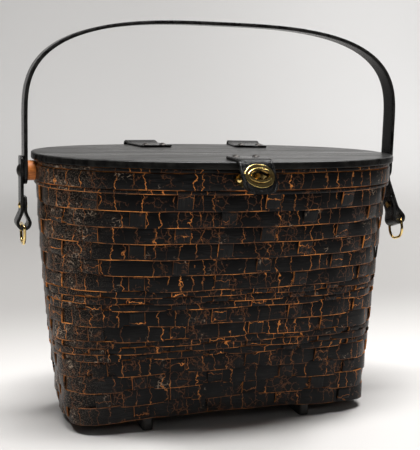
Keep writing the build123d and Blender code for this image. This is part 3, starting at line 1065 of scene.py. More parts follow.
@dataclass(frozen=True)
class WallShape:
    """Superellipse sections of the wall: half length, half depth and squareness at three heights."""

    base: Triple = (0.144, 0.054, 6.8)
    waist: Triple = (0.1605, 0.0715, 2.6)
    rim: Triple = (0.1667, 0.0949, 2.24)
    base_height: float = 0.0087
    waist_height: float = 0.1317
    rim_height: float = 0.2211
    bow: float = 0.0065
    probe: float = 0.0005
    walk_points: int = 2401

    def between(self, z: float, low: float, middle: float, high: float) -> float:
        """Value at a height on the smooth curve through three stations.

        Args:
            z: Height.
            low: Value at the base.
            middle: Value at the waist.
            high: Value at the rim and above.

        Returns:
            Value at that height.
        """
        if z >= self.rim_height:
            return high
        first = (middle - low) / (self.waist_height - self.base_height)
        second = (high - middle) / (self.rim_height - self.waist_height)
        curve = (second - first) / (self.rim_height - self.base_height)
        rise = z - self.base_height
        return low + first * rise + curve * rise * (z - self.waist_height)

    def section(self, z: float) -> Triple:
        """Half length, half depth and squareness at a height.

        Args:
            z: Height.

        Returns:
            The three numbers in that order.
        """
        lengths, depths, squares = zip(self.base, self.waist, self.rim)
        flat = self.between(z, *(1 / square for square in squares))
        return self.between(z, *lengths), self.between(z, *depths), 1 / flat

    def spot(self, z: float, turn: float) -> Array:
        """Point of the wall's outline.

        Args:
            z: Height of the outline.
            turn: Turn round it, counter-clockwise from +X.

        Returns:
            The point.
        """
        length, depth, square = self.section(z)
        c, s = math.cos(turn), math.sin(turn)
        x = math.copysign(length * abs(c) ** (2 / square), c)
        y = math.copysign(depth * abs(s) ** (2 / square), s)
        return np.array((x, y, z))

    def outward(self, z: float, turn: float) -> Array:
        """Unit normal of the wall.

        Args:
            z: Height.
            turn: Turn round the outline.

        Returns:
            Normal that follows the wall's slope.
        """
        x, y, _ = self.spot(z, turn)
        flat = oval_outward(x, y, *self.section(z))
        drift = self.spot(z + self.probe, turn) - self.spot(z - self.probe, turn)
        slope = drift @ flat / (2 * self.probe)
        return unit(np.array((flat[0], flat[1], -slope)))

    def around(self, z: float, turns: Array) -> tuple[Array, Array]:
        """Points and unit normals of the wall at a height, one for each turn."""
        points = np.array([self.spot(z, turn) for turn in turns])
        return points, np.array([self.outward(z, turn) for turn in turns])

    def lift(self, x: float, z: float) -> float:
        """Rise of the lower rows towards the middle of the long side.

        Args:
            x: Place along the long side.
            z: Height without the rise.

        Returns:
            Height to add.
        """
        fade = max(0.0, 1 - (z - self.base_height) / (self.waist_height - self.base_height))
        length = self.section(max(z, self.base_height))[0]
        return self.bow * fade * max(0.0, 1 - (x / length) ** 2)

    def walk(self, z: float, step: float) -> tuple[Array, Array, Array]:
        """Even walk round the wall at a height, starting at the back.

        Args:
            z: Height of the walk.
            step: Length of one step.

        Returns:
            Turns of the steps, their lengths along the wall, and a table of turn to length.
        """
        fine = np.linspace(math.pi / 2, 2.5 * math.pi, self.walk_points)
        lengths = run_length(np.array([self.spot(z, turn) for turn in fine]))
        count = int(lengths[-1] / step)
        places = np.linspace(0.0, lengths[-1], count, endpoint=False)
        return np.interp(places, lengths, fine), places, np.stack((fine, lengths))


@dataclass
class Crossing:
    """Place where another splint crosses: 1 when this one passes outside, -1 inside."""

    place: float
    side: float
    half: float


def over(number: int) -> float:
    """Side of a splint at a crossing: outside for even numbers, inside for odd ones."""
    return 1.0 if number % 2 == 0 else -1.0


def weave_wave(places: Array, crossings: Sequence[Crossing], overlap: float) -> Array:
    """Side of a splint along its line, held at crossings and turning between them.

    Args:
        places: Lengths along the line.
        crossings: Crossings in order.
        overlap: Length by which each turn reaches into the crossings beside it.

    Returns:
        Side from -1 to 1 at each place.
    """
    wave = np.full(len(places), crossings[0].side)
    for before, after in zip(crossings[:-1], crossings[1:]):
        start = before.place + before.half - overlap
        finish = after.place - after.half + overlap
        turn = smooth((places - start) / max(finish - start, overlap))
        inside = places >= before.place
        wave[inside] = (before.side + (after.side - before.side) * turn)[inside]
    return wave


def wave_bends(wave: Array, least: float = 1e-6) -> Array:
    """How strongly a splint bends, from 0 to 1, read from its wave."""
    turn = np.abs(np.gradient(wave))
    return turn / max(turn.max(), least)


def with_stops(first: float, last: float, count: int, stops: Sequence[Stop]) -> tuple[Array, list]:
    """Even places from first to last, with the places of stops among them.

    Args:
        first: First place.
        last: Last place, above or below the first.
        count: Number of even places.
        stops: Place, side and half width of each crossing.

    Returns:
        Places in order, and the index, side and half width of each stop between the ends.
    """
    low, high = sorted((first, last))
    inside = [stop for stop in stops if low <= stop[0] <= high]
    places = np.unique(np.concatenate((np.linspace(first, last, count), [stop[0] for stop in inside])))
    if last < first:
        places = places[::-1]
    marks = [(int(np.argmin(np.abs(places - place))), side, half) for place, side, half in inside]
    return places, sorted(marks)


def backwards(trail: Trail) -> Trail:
    """Reference line walked from its other end.

    Args:
        trail: Points, normals and crossings.

    Returns:
        The same in reverse order.
    """
    points, normals, marks = trail
    last = len(points) - 1
    return points[::-1], normals[::-1], [(last - k, side, half) for k, side, half in marks[::-1]]


@dataclass
class SplintBasket:
    """Wall and base woven of reeds and stakes.

    A splint swings out and in about a middle line, set off from the wall's outline. A reed's face
    keeps a share of the wall's slope. Stakes stand at shares of the half length along the sides,
    and at shares of the half depth at the ends.
    """

    wall: WallShape
    sweep: SweepTree
    wide: float = 0.0143
    narrow: float = 0.0062
    groups: tuple = ((Reed.WIDE, 4), (Reed.NARROW, 3), (Reed.WIDE, 2), (Reed.NARROW, 3), (Reed.WIDE, 6))
    wide_overlap: float = 0.0018
    narrow_overlap: float = 0.0010
    thickness: float = 0.0017
    rounding: float = 0.0007
    swing: float = 0.0010
    slope_share: float = -0.12
    middle: float = -0.00075
    stake_width: float = 0.0138
    long_shares: tuple = (0.115, 0.35, 0.578, 0.80)
    end_shares: tuple = (0.40, 0.0, -0.40)
    stake_top: float = 0.2352
    top_side: float = -0.83
    top_half: float = 0.009
    corner: float = 0.0055
    corner_points: int = 9
    base_middle: float = 0.00175
    base_pitch: float = 0.0108
    base_half_count: int = 4
    reed_line: float = 0.00080
    stake_line: float = 0.00045
    wander: float = 0.00032
    waves: tuple = (3, 7, 13, 23)
    phases: tuple = (0.4, 2.1, 4.4, 5.6)
    climb: float = 25.0
    step: float = 0.0030
    stake_step_share: float = 0.75
    wall_points: int = 90
    base_points: int = 60

    def rows(self) -> list[tuple[Reed, float, float]]:
        """Rows of the wall.

        Returns:
            Kind, bottom and height of each row from the base up.
        """
        rows = []
        z = self.wall.base_height
        for kind, count in self.groups:
            height = self.wide if kind is Reed.WIDE else self.narrow
            for _ in range(count):
                rows.append((kind, z, height))
                z += height
        return rows

    def stake_turns(self, z: float) -> list[float]:
        """Turns of the stakes at a height.

        Args:
            z: Height.

        Returns:
            Turns counter-clockwise from the front middle.
        """
        power = self.wall.section(z)[2] / 2
        front = [-math.acos(share ** power) for share in self.long_shares]
        end = [-math.copysign(math.asin(abs(share) ** power), share) for share in self.end_shares]
        half = front + end + [-turn for turn in reversed(front)]
        return half + [turn + math.pi for turn in half]

    def jitter(self, places: Array, z: float) -> Array:
        """Slow wander of a hand-laid reed, close to that of the rows beside it.

        Args:
            places: Lengths along the reed.
            z: Height of the reed.

        Returns:
            Height to add at each place.
        """
        turn = 2 * math.pi * places / (places[-1] + self.step)
        drift = np.zeros(len(places))
        for waves, phase in zip(self.waves, self.phases):
            drift += np.sin(waves * turn + phase + self.climb * z) / math.sqrt(waves)
        return drift * self.wander

    def weaver(self, index: int, bottom: float, height: float) -> Strip:
        """Line of one reed round the wall.

        Args:
            index: Number of the row from the base up.
            bottom: Height of the row's lower edge.
            height: Height of the row.

        Returns:
            Closed line that passes over and under the stakes.
        """
        z = bottom + height / 2
        turns, places, table = self.wall.walk(z, self.step)
        start = table[0][0]
        total = table[1][-1]
        half = self.stake_width / 2 + self.thickness
        marks = []
        for k, turn in enumerate(self.stake_turns(z)):
            held = (turn - start) % (2 * math.pi) + start
            marks.append(Crossing(float(np.interp(held, *table)), over(index + k), half))
        marks.sort(key=lambda mark: mark.place)
        # The outermost stakes come again past both ends, so that the reed closes.
        first, last = marks[0], marks[-1]
        marks.insert(0, Crossing(last.place - total, last.side, half))
        marks.append(Crossing(first.place + total, first.side, half))
        wave = weave_wave(places, marks, self.rounding)
        points, facing = self.wall.around(z, turns)
        facing[:, 2] *= self.slope_share
        facing = unit(facing)
        points += facing * (self.middle + self.swing * wave)[:, None]
        points[:, 2] += [self.wall.lift(x, z) for x in points[:, 0]]
        points[:, 2] += self.jitter(places, z)
        return Strip(points, facing, wave_bends(wave), True)

    def wall_trail(self, stake: int) -> Trail:
        """Reference line of a stake down the wall.

        Args:
            stake: Number of the stake.

        Returns:
            Points, normals, and crossings as point index, side and half height.
        """
        stops = [(self.stake_top, self.top_side, self.top_half)]
        for index, (_, bottom, height) in enumerate(self.rows()):
            stops.append((bottom + height / 2, -over(index + stake), height / 2))
        foot = self.wall.base_height + self.corner
        heights, marks = with_stops(self.stake_top, foot, self.wall_points, stops)
        points = []
        normals = []
        for z in heights:
            turn = self.stake_turns(z)[stake]
            normal = self.wall.outward(z, turn)
            point = self.wall.spot(z, turn) + normal * self.middle
            point[2] += self.wall.lift(point[0], z)
            points.append(point)
            normals.append(normal)
        return points, normals, marks

    def base_run(self, start: Array, finish: Array, stops: Sequence[Stop], axis: int) -> Trail:
        """Reference line across the base between two points.

        Args:
            start: First point.
            finish: Last point.
            stops: Place along the axis, side and half width of each crossing.
            axis: Axis that the line runs along, 0 or 1.

        Returns:
            Points, normals and crossings, as for a wall.
        """
        places, marks = with_stops(start[axis], finish[axis], self.base_points, stops)
        level = self.wall.base_height + self.base_middle
        points = []
        for place in places:
            point = start + (finish - start) * (place - start[axis]) / (finish[axis] - start[axis])
            point[2] = level + self.wall.lift(point[0], self.wall.base_height)
            points.append(point)
        return points, [-UP] * len(points), marks

    def fold(self, wall: Array, wall_normal: Array, base: Array) -> tuple[list, list]:
        """Rounded corner from the foot of the wall to the base.

        Args:
            wall: Last point of the wall.
            wall_normal: Normal there.
            base: First point of the base.

        Returns:
            Points and normals between the two points.
        """
        corner = np.array((wall[0], wall[1], base[2]))
        shares = np.linspace(0, 1, self.corner_points)[1:-1]
        points = [curve_point(wall, corner, base, share) for share in shares]
        return points, [unit((1 - share) * wall_normal - share * UP) for share in shares]

    def lay(self, trail: Trail) -> Strip:
        """Add the weave's wave to a reference line.

        Args:
            trail: Points, normals and crossings of the whole line.

        Returns:
            Open line of one splint.
        """
        line, outward = np.array(trail[0]), np.array(trail[1])
        lengths = run_length(line)
        places = np.arange(0.0, lengths[-1], self.step * self.stake_step_share)
        crossings = [Crossing(lengths[k], side, half) for k, side, half in trail[2]]
        wave = weave_wave(places, crossings, self.thickness)
        facing = unit(resample(outward, lengths, places))
        laid = resample(line, lengths, places) + facing * (self.swing * wave)[:, None]
        return Strip(laid, facing, wave_bends(wave), False)

    def through(self, first: int, second: int, stops: Sequence[Stop], axis: int) -> Strip:
        """Line of a stake down one wall, across the base and up the other wall.

        Args:
            first: Number of the stake on the first wall.
            second: Number of its other end.
            stops: Crossings on the base.
            axis: Axis that it crosses the base along, 0 or 1.

        Returns:
            Open line from rim to rim.
        """
        down = self.wall_trail(first)
        up = self.wall_trail(second)
        start, finish = down[0][-1].copy(), up[0][-1].copy()
        for end in (start, finish):
            end[axis] -= math.copysign(self.corner, end[axis])
        base = self.base_run(start, finish, stops, axis)
        near = (*self.fold(down[0][-1], down[1][-1], base[0][0]), [])
        far = (*self.fold(up[0][-1], up[1][-1], base[0][-1]), [])
        points, normals, marks = [], [], []
        for run in (down, near, base, backwards(far), backwards(up)):
            marks += [(k + len(points), side, half) for k, side, half in run[2]]
            points += run[0]
            normals += run[1]
        return self.lay((points, normals, marks))

    def base_lines(self) -> list[Pair]:
        """Lengthwise splints of the base.

        Returns:
            Place along Y and half width of each, front to back.
        """
        lines = []
        for k in range(-self.base_half_count, self.base_half_count + 1):
            width = self.stake_width if k % 2 == 0 else self.narrow + self.narrow_overlap
            lines.append((k * self.base_pitch, width / 2))
        return lines

    def end_lines(self) -> list[int]:
        """Numbers of the base's lengthwise lines that stakes of the ends run along."""
        return [2 * (k + 1) for k in range(len(self.end_shares))]

    def cross_places(self) -> list[float]:
        """Places along X of the stakes that cross the base, left to right."""
        right = [share * self.wall.base[0] for share in self.long_shares]
        return [-x for x in reversed(right)] + right

    def cross_stops(self, line: int) -> list[Stop]:
        """Crossings of a lengthwise line of the base with the stakes that cross it."""
        half = self.stake_width / 2
        return [(x, -over(m + line), half) for m, x in enumerate(self.cross_places())]

    def stakes(self) -> list[Strip]:
        """Lines of all stakes, each from rim to rim under the base.

        Returns:
            Stakes that cross the base, left to right, then those that run along it.
        """
        strips = []
        count = len(self.long_shares)
        last = 4 * count + 2 * len(self.end_shares) - 1
        half = last // 2
        # Stakes are numbered round the wall from the front middle. Rank counts from the middle of a side.
        for m in range(2 * count):
            rank = m - count if m >= count else count - 1 - m
            front = rank if m >= count else last - rank
            back = half - rank if m >= count else half + 1 + rank
            stops = [(y, over(m + j), width) for j, (y, width) in enumerate(self.base_lines())]
            strips.append(self.through(front, back, stops, 1))
        for k, line in enumerate(self.end_lines()):
            strips.append(self.through(count + k, last - count - k, self.cross_stops(line), 0))
        return strips

    def fillers(self, wide: bool) -> list[Strip]:
        """Lines of the base's own lengthwise splints.

        Args:
            wide: Whether the wide ones are meant, or the narrow ones.

        Returns:
            Open lines that stay within the base.
        """
        strips = []
        length, depth, square = self.wall.base
        for j, (y, half) in enumerate(self.base_lines()):
            if (j % 2 == 0) != wide or j in self.end_lines():
                continue
            reach = length * oval_share((abs(y) + half) / depth, square) - 2 * self.thickness
            start, finish = np.array((-reach, y, 0.0)), np.array((reach, y, 0.0))
            strips.append(self.lay(self.base_run(start, finish, self.cross_stops(j), 0)))
        return strips

    def build(self) -> list[Piece]:
        """Weave the wall and the base.

        Returns:
            The reeds, stakes and base splints as plain meshes.
        """
        reeds = {kind: [] for kind in Reed}
        for index, (kind, bottom, height) in enumerate(self.rows()):
            reeds[kind].append(self.weaver(index, bottom, height))
        narrow = self.narrow + self.narrow_overlap
        kinds = (
            (Reed.WIDE.value, reeds[Reed.WIDE], self.wide + self.wide_overlap, self.reed_line),
            (Reed.NARROW.value, reeds[Reed.NARROW], narrow, self.reed_line),
            ("stakes", self.stakes(), self.stake_width, self.stake_line),
            ("base_wide_splints", self.fillers(True), self.stake_width, self.reed_line),
            ("base_narrow_splints", self.fillers(False), narrow, self.reed_line),
        )
        pieces = []
        for name, strips, width, line in kinds:
            finish = CracklePaint(f"{name}_paint", width / 2, edge_line=line)
            sizes = (width, self.thickness, self.rounding)
            pieces.append(sweep_splints(name, strips, self.sweep, sizes, finish))
        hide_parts("woven_body")
        return pieces


@dataclass(frozen=True)
class Hoop:
    """One band or reed round the rim, set off from the wall's own line."""

    node: str
    offset: float
    bottom: float
    height: float
    thickness: float
    rounding: float


@dataclass
class RimHoops:
    """Bands and reeds that bind the rim."""

    wall: WallShape
    sweep: SweepTree
    hoops: tuple = (
        Hoop("outer_rim_band", 0.0016, 0.2211, 0.0144, 0.0030, 0.0009),
        Hoop("inner_rim_band", -0.0042, 0.2185, 0.0170, 0.0024, 0.0007),
        Hoop("lower_rim_reed", 0.0014, 0.2175, 0.0036, 0.0026, 0.0011),
        Hoop("top_rim_reed", -0.00115, 0.2355, 0.0035, 0.0075, 0.0010),
    )
    step: float = 0.0035
    edge_line: float = 0.00062
    edge_cover: float = 0.43

    def build(self) -> list[Piece]:
        """Sweep the hoops, each in place of the frame's plain one.

        Returns:
            The hoops as plain meshes.
        """
        pieces = []
        turns = self.wall.walk(self.wall.rim_height, self.step)[0]
        line, facing = self.wall.around(self.wall.rim_height, turns)
        facing[:, 2] = 0.0
        facing = unit(facing)
        for hoop in self.hoops:
            points = line + facing * hoop.offset
            points[:, 2] = hoop.bottom + hoop.height / 2
            strip = Strip(points, facing, np.zeros(len(points)), True)
            paint = {"edge_line": self.edge_line, "edge_cover": self.edge_cover}
            finish = CracklePaint(f"{hoop.node}_paint", hoop.height / 2, **paint)
            sizes = (hoop.height, hoop.thickness, hoop.rounding)
            piece = sweep_splints(f"{hoop.node}_splint", [strip], self.sweep, sizes, finish)
            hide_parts(hoop.node)
            pieces.append(piece)
        return pieces


@dataclass
class Strap:
    """A strip of leather swept along a line, with rounded edges and end corners."""

    name: str
    line: Array
    across: Array
    half_width: float
    ends: Pair
    thickness: float
    rounding: float = 0.0011
    flats: int = 6
    arcs: int = 4
    least_share: float = 0.12

    def half_widths(self) -> Array:
        """Half width at each point of the line, less where the ends' corners are rounded.

        Returns:
            Half widths in order.
        """
        lengths = run_length(self.line)
        widths = np.full(len(self.line), self.half_width)
        for radius, away in zip(self.ends, (lengths, lengths[-1] - lengths)):
            short = np.clip(radius - away, 0.0, radius)
            widths = np.minimum(widths, self.half_width - radius + np.sqrt(radius**2 - short**2))
        return np.maximum(widths, self.half_width * self.least_share)

    def section(self, half_width: float) -> Array:
        """Rounded outline of the strip's section.

        Args:
            half_width: Half width of the section.

        Returns:
            Across and outward sizes of each point.
        """
        half = self.thickness / 2
        r = min(self.rounding, half, half_width)
        # The two arcs of a fully round edge share the point where they meet.
        shared = 1 if r == half else 0
        points = []
        # Signs of each corner, and the quarter turn that its arc starts at.
        corners = ((1, 1, 0), (-1, 1, 1), (-1, -1, 2), (1, -1, 3))
        for sx, sy, quarter in corners:
            for k in range(self.arcs - shared * (quarter % 2)):
                turn = math.pi / 2 * (quarter + k / (self.arcs - 1))
                x = sx * (half_width - r) + r * math.cos(turn)
                points.append((x, sy * (half - r) + r * math.sin(turn)))
            if quarter % 2 == 0:
                for k in range(1, self.flats):
                    share = 1 - 2 * k / self.flats
                    points.append((sx * (half_width - r) * share, sy * half))
        return np.array(points)

    def build(self) -> Piece:
        """Make the strap.

        Returns:
            One closed mesh with along and across stored on it.
        """
        rings = []
        along = []
        side = []
        lengths = run_length(self.line)
        widths = self.half_widths()
        outward = unit(np.cross(unit(np.gradient(self.line, axis=0)), self.across))
        for k, centre in enumerate(self.line):
            shape = self.section(float(widths[k]))
            rings.append(centre + shape[:, :1] * self.across + shape[:, 1:] * outward[k])
            along += [lengths[k]] * len(shape)
            at_end = k in (0, len(self.line) - 1)
            side += list(shape[:, 0] / (widths.max() if at_end else widths[k]))
        mesh = loft(self.name, rings)
        store(mesh, "along", along)
        store(mesh, "across", side)
        shade_smooth(mesh)
        mesh.materials.append(LEATHER.material())
        return add_object(self.name, mesh)


@dataclass
class HandleStrap:
    """Leather handle in a flat-topped arch from peg to peg."""

    half_width: float = 0.1783
    leg_top: float = 0.275
    rise: float = 0.087
    square: float = 3.0
    left_foot: float = 0.2175
    right_foot: float = 0.2197
    strap_width: float = 0.019
    thickness: float = 0.0032
    tail_trim: float = 0.0003
    arch_points: int = 181
    step: float = 0.004

    def build(self) -> Piece:
        """Make the strap and let it ride on the handle.

        Returns:
            The strap.
        """
        turns = np.linspace(math.pi, 0.0, self.arch_points)
        x = np.sign(np.cos(turns)) * self.half_width * np.abs(np.cos(turns)) ** (2 / self.square)
        z = self.leg_top + self.rise * np.abs(np.sin(turns)) ** (2 / self.square)
        arch = np.stack((x, np.zeros(len(x)), z), axis=1)
        start = np.array([(-self.half_width, 0.0, self.left_foot)])
        finish = np.array([(self.half_width, 0.0, self.right_foot)])
        half = self.strap_width / 2
        line = fine_ends(np.concatenate((start, arch, finish)), self.step, half)
        ends = (half - self.tail_trim,) * 2
        strap = Strap("handle_leather", line, ALONG_Y, half, ends, self.thickness)
        piece = settle(strap.build(), Body.HANDLE)
        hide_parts("handle_strap")
        return piece


@dataclass
class RingTab:
    """Leather tab hung on a bolt and folded up round its ring."""

    side: Side
    centre: float
    lean: float = 0.0
    swing: float = 0.0
    extra: float = 0.0
    peg_height: float = 0.2295
    thickness: float = 0.0026
    width: float = 0.019
    above: float = 0.0127
    bend_drop: float = 0.014
    fold_drop: float = 0.036
    loop_drop: float = 0.0455
    loop_radius: float = 0.0054
    loop_more: float = 0.20
    loop_points: int = 15
    return_drop: float = 0.0225
    layer_gap: float = 0.0002
    corner_cut: float = 0.0022
    ends: Pair = (0.0035, 0.003)
    step: float = 0.0016
    end_reach: float = 0.004

    def spot(self, out: float, drop: float) -> Pair:
        """Point of the tab at the right end.

        Args:
            out: Distance out from the outer layer.
            drop: Length down from the peg.

        Returns:
            Its X and Z.
        """
        if drop <= self.bend_drop:
            return self.centre + out, self.peg_height - drop
        below = drop - self.bend_drop + self.extra
        c, s = math.cos(self.lean), math.sin(self.lean)
        x = self.centre + out * c + below * s
        return x, self.peg_height - self.bend_drop + out * s - below * c

    def line(self) -> Array:
        """Middle line of the leather.

        Returns:
            Points from its top, round the ring and back up.
        """
        layers = self.thickness + self.layer_gap
        loop = []
        for turn in np.linspace(self.loop_more, -math.pi - self.loop_more, self.loop_points):
            out = self.loop_radius * math.cos(turn) - layers / 2
            loop.append(self.spot(out, self.loop_drop - self.loop_radius * math.sin(turn)))
        down = [self.spot(0, drop) for drop in (-self.above, self.bend_drop, self.fold_drop)]
        back = [self.spot(-layers, drop) for drop in (self.fold_drop, self.return_drop)]
        flat = rounded_line(down + loop + back, self.corner_cut)
        x = flat[:, 0] * self.side.value
        return np.stack((x, np.zeros(len(x)), flat[:, 1]), axis=1)

    def build(self) -> Piece:
        """Make the tab and let it ride on its own body.

        Returns:
            The tab.
        """
        word = self.side.name.lower()
        line = fine_ends(self.line(), self.step, self.end_reach)
        pivot = UP * self.peg_height
        turn = np.array(Matrix.Rotation(-self.swing, 3, "X"))
        line = (line - pivot) @ turn.T + pivot
        across = turn @ ALONG_Y
        shape = Strap(f"{word}_tab_leather", line, across, self.width / 2, self.ends, self.thickness)
        body = Body.LEFT_TAB if self.side is Side.LEFT else Body.RIGHT_TAB
        piece = settle(shape.build(), body)
        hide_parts(f"{word}_ring_tab")
        return piece


@dataclass
class HingeStrap:
    """Leather hinge from the lid's top over its back edge to the rim band.

    Corners are distances out from the band's face, and heights.
    """

    side: Side
    place: float
    width: float = 0.033
    thickness: float = 0.0022
    band_length: float = 0.1698
    band_depth: float = 0.098
    square: float = 2.24
    corners: tuple = (
        (-0.040, 0.2466), (-0.002, 0.2466), (0.0046, 0.2488), (0.0086, 0.2477),
        (0.0086, 0.239), (0.0012, 0.2355), (0.0012, 0.223),
    )
    corner_cut: float = 0.0034
    even_step: float = 0.0010
    ends: Pair = (0.003, 0.002)
    step: float = 0.0016
    end_reach: float = 0.004
    blend_start: Triple = (0.0, 0.104, 0.236)
    blend_end: Triple = (0.0, 0.100, 0.249)

    def build(self) -> Piece:
        """Make the strap in place of the frame's plain one.

        Returns:
            The strap.
        """
        word = self.side.name.lower()
        x = self.place
        y = self.band_depth * oval_share(abs(x) / self.band_length, self.square)
        outward = oval_outward(x, y, self.band_length, self.band_depth, self.square)
        across = np.cross(outward, UP)
        flat = even_line(rounded_line(self.corners, self.corner_cut), self.even_step)
        line = np.array((x, y, 0.0)) + flat[:, :1] * outward + flat[:, 1:] * UP
        line = fine_ends(line, self.step, self.end_reach)
        shape = Strap(f"{word}_hinge_leather", line, across, self.width / 2, self.ends, self.thickness)
        piece = shape.build()
        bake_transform(piece)
        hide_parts(f"{word}_hinge_strap")
        LOG.info("%s: bends between basket and lid", piece.name)
        return piece


@dataclass
class ClaspStrap:
    """Leather strap on the lid whose end folds down as the clasp's flap."""

    middle: float = -0.0035
    fold_y: float = -0.1034
    fold_z: float = 0.247
    on_lid: float = 0.030
    length: float = 0.032
    lean: float = math.radians(37.0)
    width: float = 0.031
    thickness: float = 0.003
    root_corner: float = 0.002
    corner: float = 0.010
    bend: float = 0.0048
    bend_points: int = 10
    step: float = 0.0012
    window_drop: float = 0.016
    window: Pair = (0.0162, 0.0096)
    window_points: int = 48
    blend_start: Triple = (0.0, -0.100, 0.2485)
    blend_end: Triple = (0.0, -0.1045, 0.2435)

    def down(self) -> Array:
        """Direction down along the flap."""
        return np.array((0.0, -math.sin(self.lean), -math.cos(self.lean)))

    def cutter(self) -> Piece:
        """Oval bar through the flap that cuts the lock's window.

        Returns:
            The bar, twice as deep as the leather on each side.
        """
        centre = np.array((self.middle, self.fold_y, self.fold_z)) + self.down() * self.window_drop
        turns = np.linspace(0, 2 * math.pi, self.window_points, endpoint=False)
        oval = np.outer(np.cos(turns) * self.window[0] / 2, ALONG_X)
        oval = oval + np.outer(np.sin(turns) * self.window[1] / 2, self.down())
        reach = np.cross(ALONG_X, self.down()) * self.thickness * 2
        mesh = loft("window_cutter", (centre + oval - reach, centre + oval + reach))
        return add_object("window_cutter", mesh)

    def build(self) -> Piece:
        """Make the strap and cut its window, in place of the frame's plain strap and flap.

        Returns:
            The strap with its flap.
        """
        root = (self.fold_y + self.on_lid, self.fold_z)
        fold = (self.fold_y, self.fold_z)
        tip = fold + self.down()[1:] * self.length
        flat = rounded_line((root, fold, tuple(tip)), self.bend, self.bend_points)
        line = np.stack((np.full(len(flat), self.middle), flat[:, 0], flat[:, 1]), axis=1)
        line = fine_ends(line, self.step, self.corner)
        ends = (self.root_corner, self.corner)
        piece = Strap("clasp_leather", line, ALONG_X, self.width / 2, ends, self.thickness).build()
        cutter = self.cutter()
        cut = piece.modifiers.new("window", "BOOLEAN")
        cut.object = cutter
        cut.operation = "DIFFERENCE"
        cut.solver = "EXACT"
        mesh = baked(piece)
        piece.modifiers.remove(cut)
        piece.data = mesh
        bpy.data.objects.remove(cutter)
        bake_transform(piece)
        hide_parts("clasp_strap", "clasp_flap")
        LOG.info("%s: bends between lid and clasp", piece.name)
        return piece


@dataclass
class FrameDress:
    """Finishes of the frame's own pieces that stay in view."""

    finishes: dict = field(default_factory=lambda: {
        "lid_board": LID_PAINT,
        "left_runner": RUNNER_WOOD, "right_runner": RUNNER_WOOD,
        "left_peg": PEG_WOOD, "right_peg": PEG_WOOD,
        "left_peg_bolt": DARK_METAL, "right_peg_bolt": DARK_METAL,
        "left_tab_rivet": BRASS, "right_tab_rivet": BRASS,
        "left_ring": BRASS, "right_ring": BRASS,
        "window_plate": BRASS, "backing_plate": WINDOW_SHADE_BRASS,
        "lock_plate": BRASS, "lock_screws": BRASS, "turn_knob": WINDOW_SHADE_BRASS,
        "hinge_lid_rivets": DARK_METAL, "hinge_wall_rivets": DARK_METAL, "clasp_rivets": DARK_METAL,
    })

    def build(self) -> None:
        """Give each of these pieces its finish."""
        for node, finish in self.finishes.items():
            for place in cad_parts[node].material_slots:
                place.material = finish.material()
            LOG.info("%s: %s", node, finish.name)


@dataclass(frozen=True)
class Lamp:
    """One soft rectangular light of the stage."""

    name: str
    place: Triple
    aim: Triple
    size: Pair
    power: float

    def build(self) -> None:
        """Hang the lamp and turn it to its aim."""
        lamp = bpy.data.lights.new(self.name, "AREA")
        lamp.energy = self.power
        lamp.shape = "RECTANGLE"
        lamp.size, lamp.size_y = self.size
        holder = add_object(self.name, lamp)
        holder.location = self.place
        way = Vector(self.aim) - Vector(self.place)
        holder.rotation_euler = way.to_track_quat("-Z", "Y").to_euler()


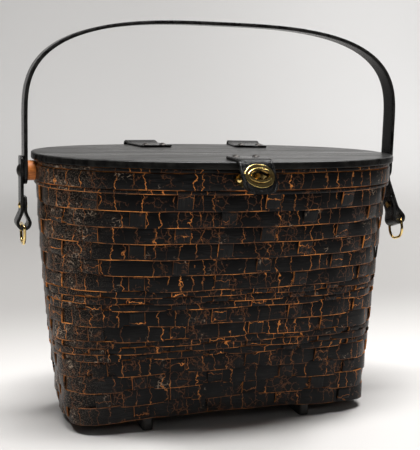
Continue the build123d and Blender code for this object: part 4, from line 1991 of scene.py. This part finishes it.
@dataclass
class Studio:
    """Pale sweep, soft lights and the camera."""

    eye: Triple = (-0.2875, -0.8133, 0.3125)
    aim: Triple = (-0.0038, 0.0060, 0.1757)
    roll: float = 0.0273
    lens: float = 74.02
    sensor: float = 36.0
    sweep_front: float = -2.5
    sweep_back: float = 1.6
    sweep_radius: float = 0.9
    sweep_height: float = 3.0
    sweep_half: float = 4.0
    sweep_points: int = 25
    paper: SweepPaper = SweepPaper()
    surround: Triple = (0.96, 0.98, 1.0)
    surround_strength: float = 0.03
    lamps: tuple = (
        Lamp("overhead", (0.0, -0.25, 2.0), (0.0, -0.10, 0.0), (1.0, 0.25), 54.0),
        Lamp("right rear", (0.9, 0.45, 1.6), (0.0, 0.0, 0.1), (0.3, 0.3), 9.0),
        Lamp("left rear", (-0.9, 0.35, 1.7), (-0.1, 0.0, 0.1), (0.3, 0.3), 9.0),
        Lamp("front", (0.2, -1.64, 1.15), (0.0, 0.0, 0.1), (0.3, 0.3), 1.2),
        Lamp("backdrop", (1.3, 1.1, 2.6), (1.3, 2.5, 0.7), (1.2, 1.2), 46.0),
    )

    def floor(self) -> None:
        """Floor that curves up into a backdrop."""
        turns = np.linspace(0, math.pi / 2, self.sweep_points)
        bend_y = self.sweep_back + self.sweep_radius * np.sin(turns)
        bend_z = self.sweep_radius * (1 - np.cos(turns))
        y = np.concatenate(([self.sweep_front], bend_y, [bend_y[-1]]))
        z = np.concatenate(([0.0], bend_z, [self.sweep_height]))
        points = [(side * self.sweep_half, b, c) for b, c in zip(y, z) for side in (-1, 1)]
        faces = [(2 * k, 2 * k + 1, 2 * k + 3, 2 * k + 2) for k in range(len(y) - 1)]
        mesh = bpy.data.meshes.new("sweep")
        mesh.from_pydata(points, [], faces)
        shade_smooth(mesh)
        mesh.materials.append(self.paper.material())
        add_object("sweep", mesh)

    def light(self) -> None:
        """Soft lights and a dim surround."""
        for lamp in self.lamps:
            lamp.build()
        world = bpy.data.worlds.new("studio")
        world.use_nodes = True
        glow = world.node_tree.nodes["Background"]
        glow.inputs["Color"].default_value = (*self.surround, 1.0)
        glow.inputs["Strength"].default_value = self.surround_strength
        bpy.context.scene.world = world

    def camera(self) -> None:
        """Camera in the photograph's place."""
        lens = bpy.data.cameras.new("camera")
        lens.lens = self.lens
        lens.sensor_width = self.sensor
        holder = add_object("camera", lens)
        forward = (Vector(self.aim) - Vector(self.eye)).normalized()
        level = forward.cross(Vector(UP)).normalized()
        above = level.cross(forward)
        right = level * math.cos(self.roll) + above * math.sin(self.roll)
        up = right.cross(forward)
        turn = Matrix((right, up, -forward)).transposed().to_4x4()
        holder.matrix_world = Matrix.Translation(Vector(self.eye)) @ turn
        bpy.context.scene.camera = holder
        bpy.context.scene.view_settings.view_transform = "Standard"

    def build(self) -> None:
        """Set the stage."""
        self.floor()
        self.light()
        self.camera()


def main() -> None:
    """Build every piece, dress the frame and set the stage."""
    logging.basicConfig(level=logging.INFO, format="%(name)s %(message)s")
    wall = WallShape()
    sweep = SweepTree()
    SplintBasket(wall, sweep).build()
    RimHoops(wall, sweep).build()
    HandleStrap().build()
    RingTab(Side.LEFT, centre=0.1815).build()
    right_turns = {"lean": math.radians(13.0), "swing": math.radians(18.0)}
    RingTab(Side.RIGHT, centre=0.1751, extra=0.006, **right_turns).build()
    HingeStrap(Side.LEFT, place=-0.048).build()
    HingeStrap(Side.RIGHT, place=0.061).build()
    ClaspStrap().build()
    FrameDress().build()
    Studio().build()


if __name__ == "__main__":
    main()
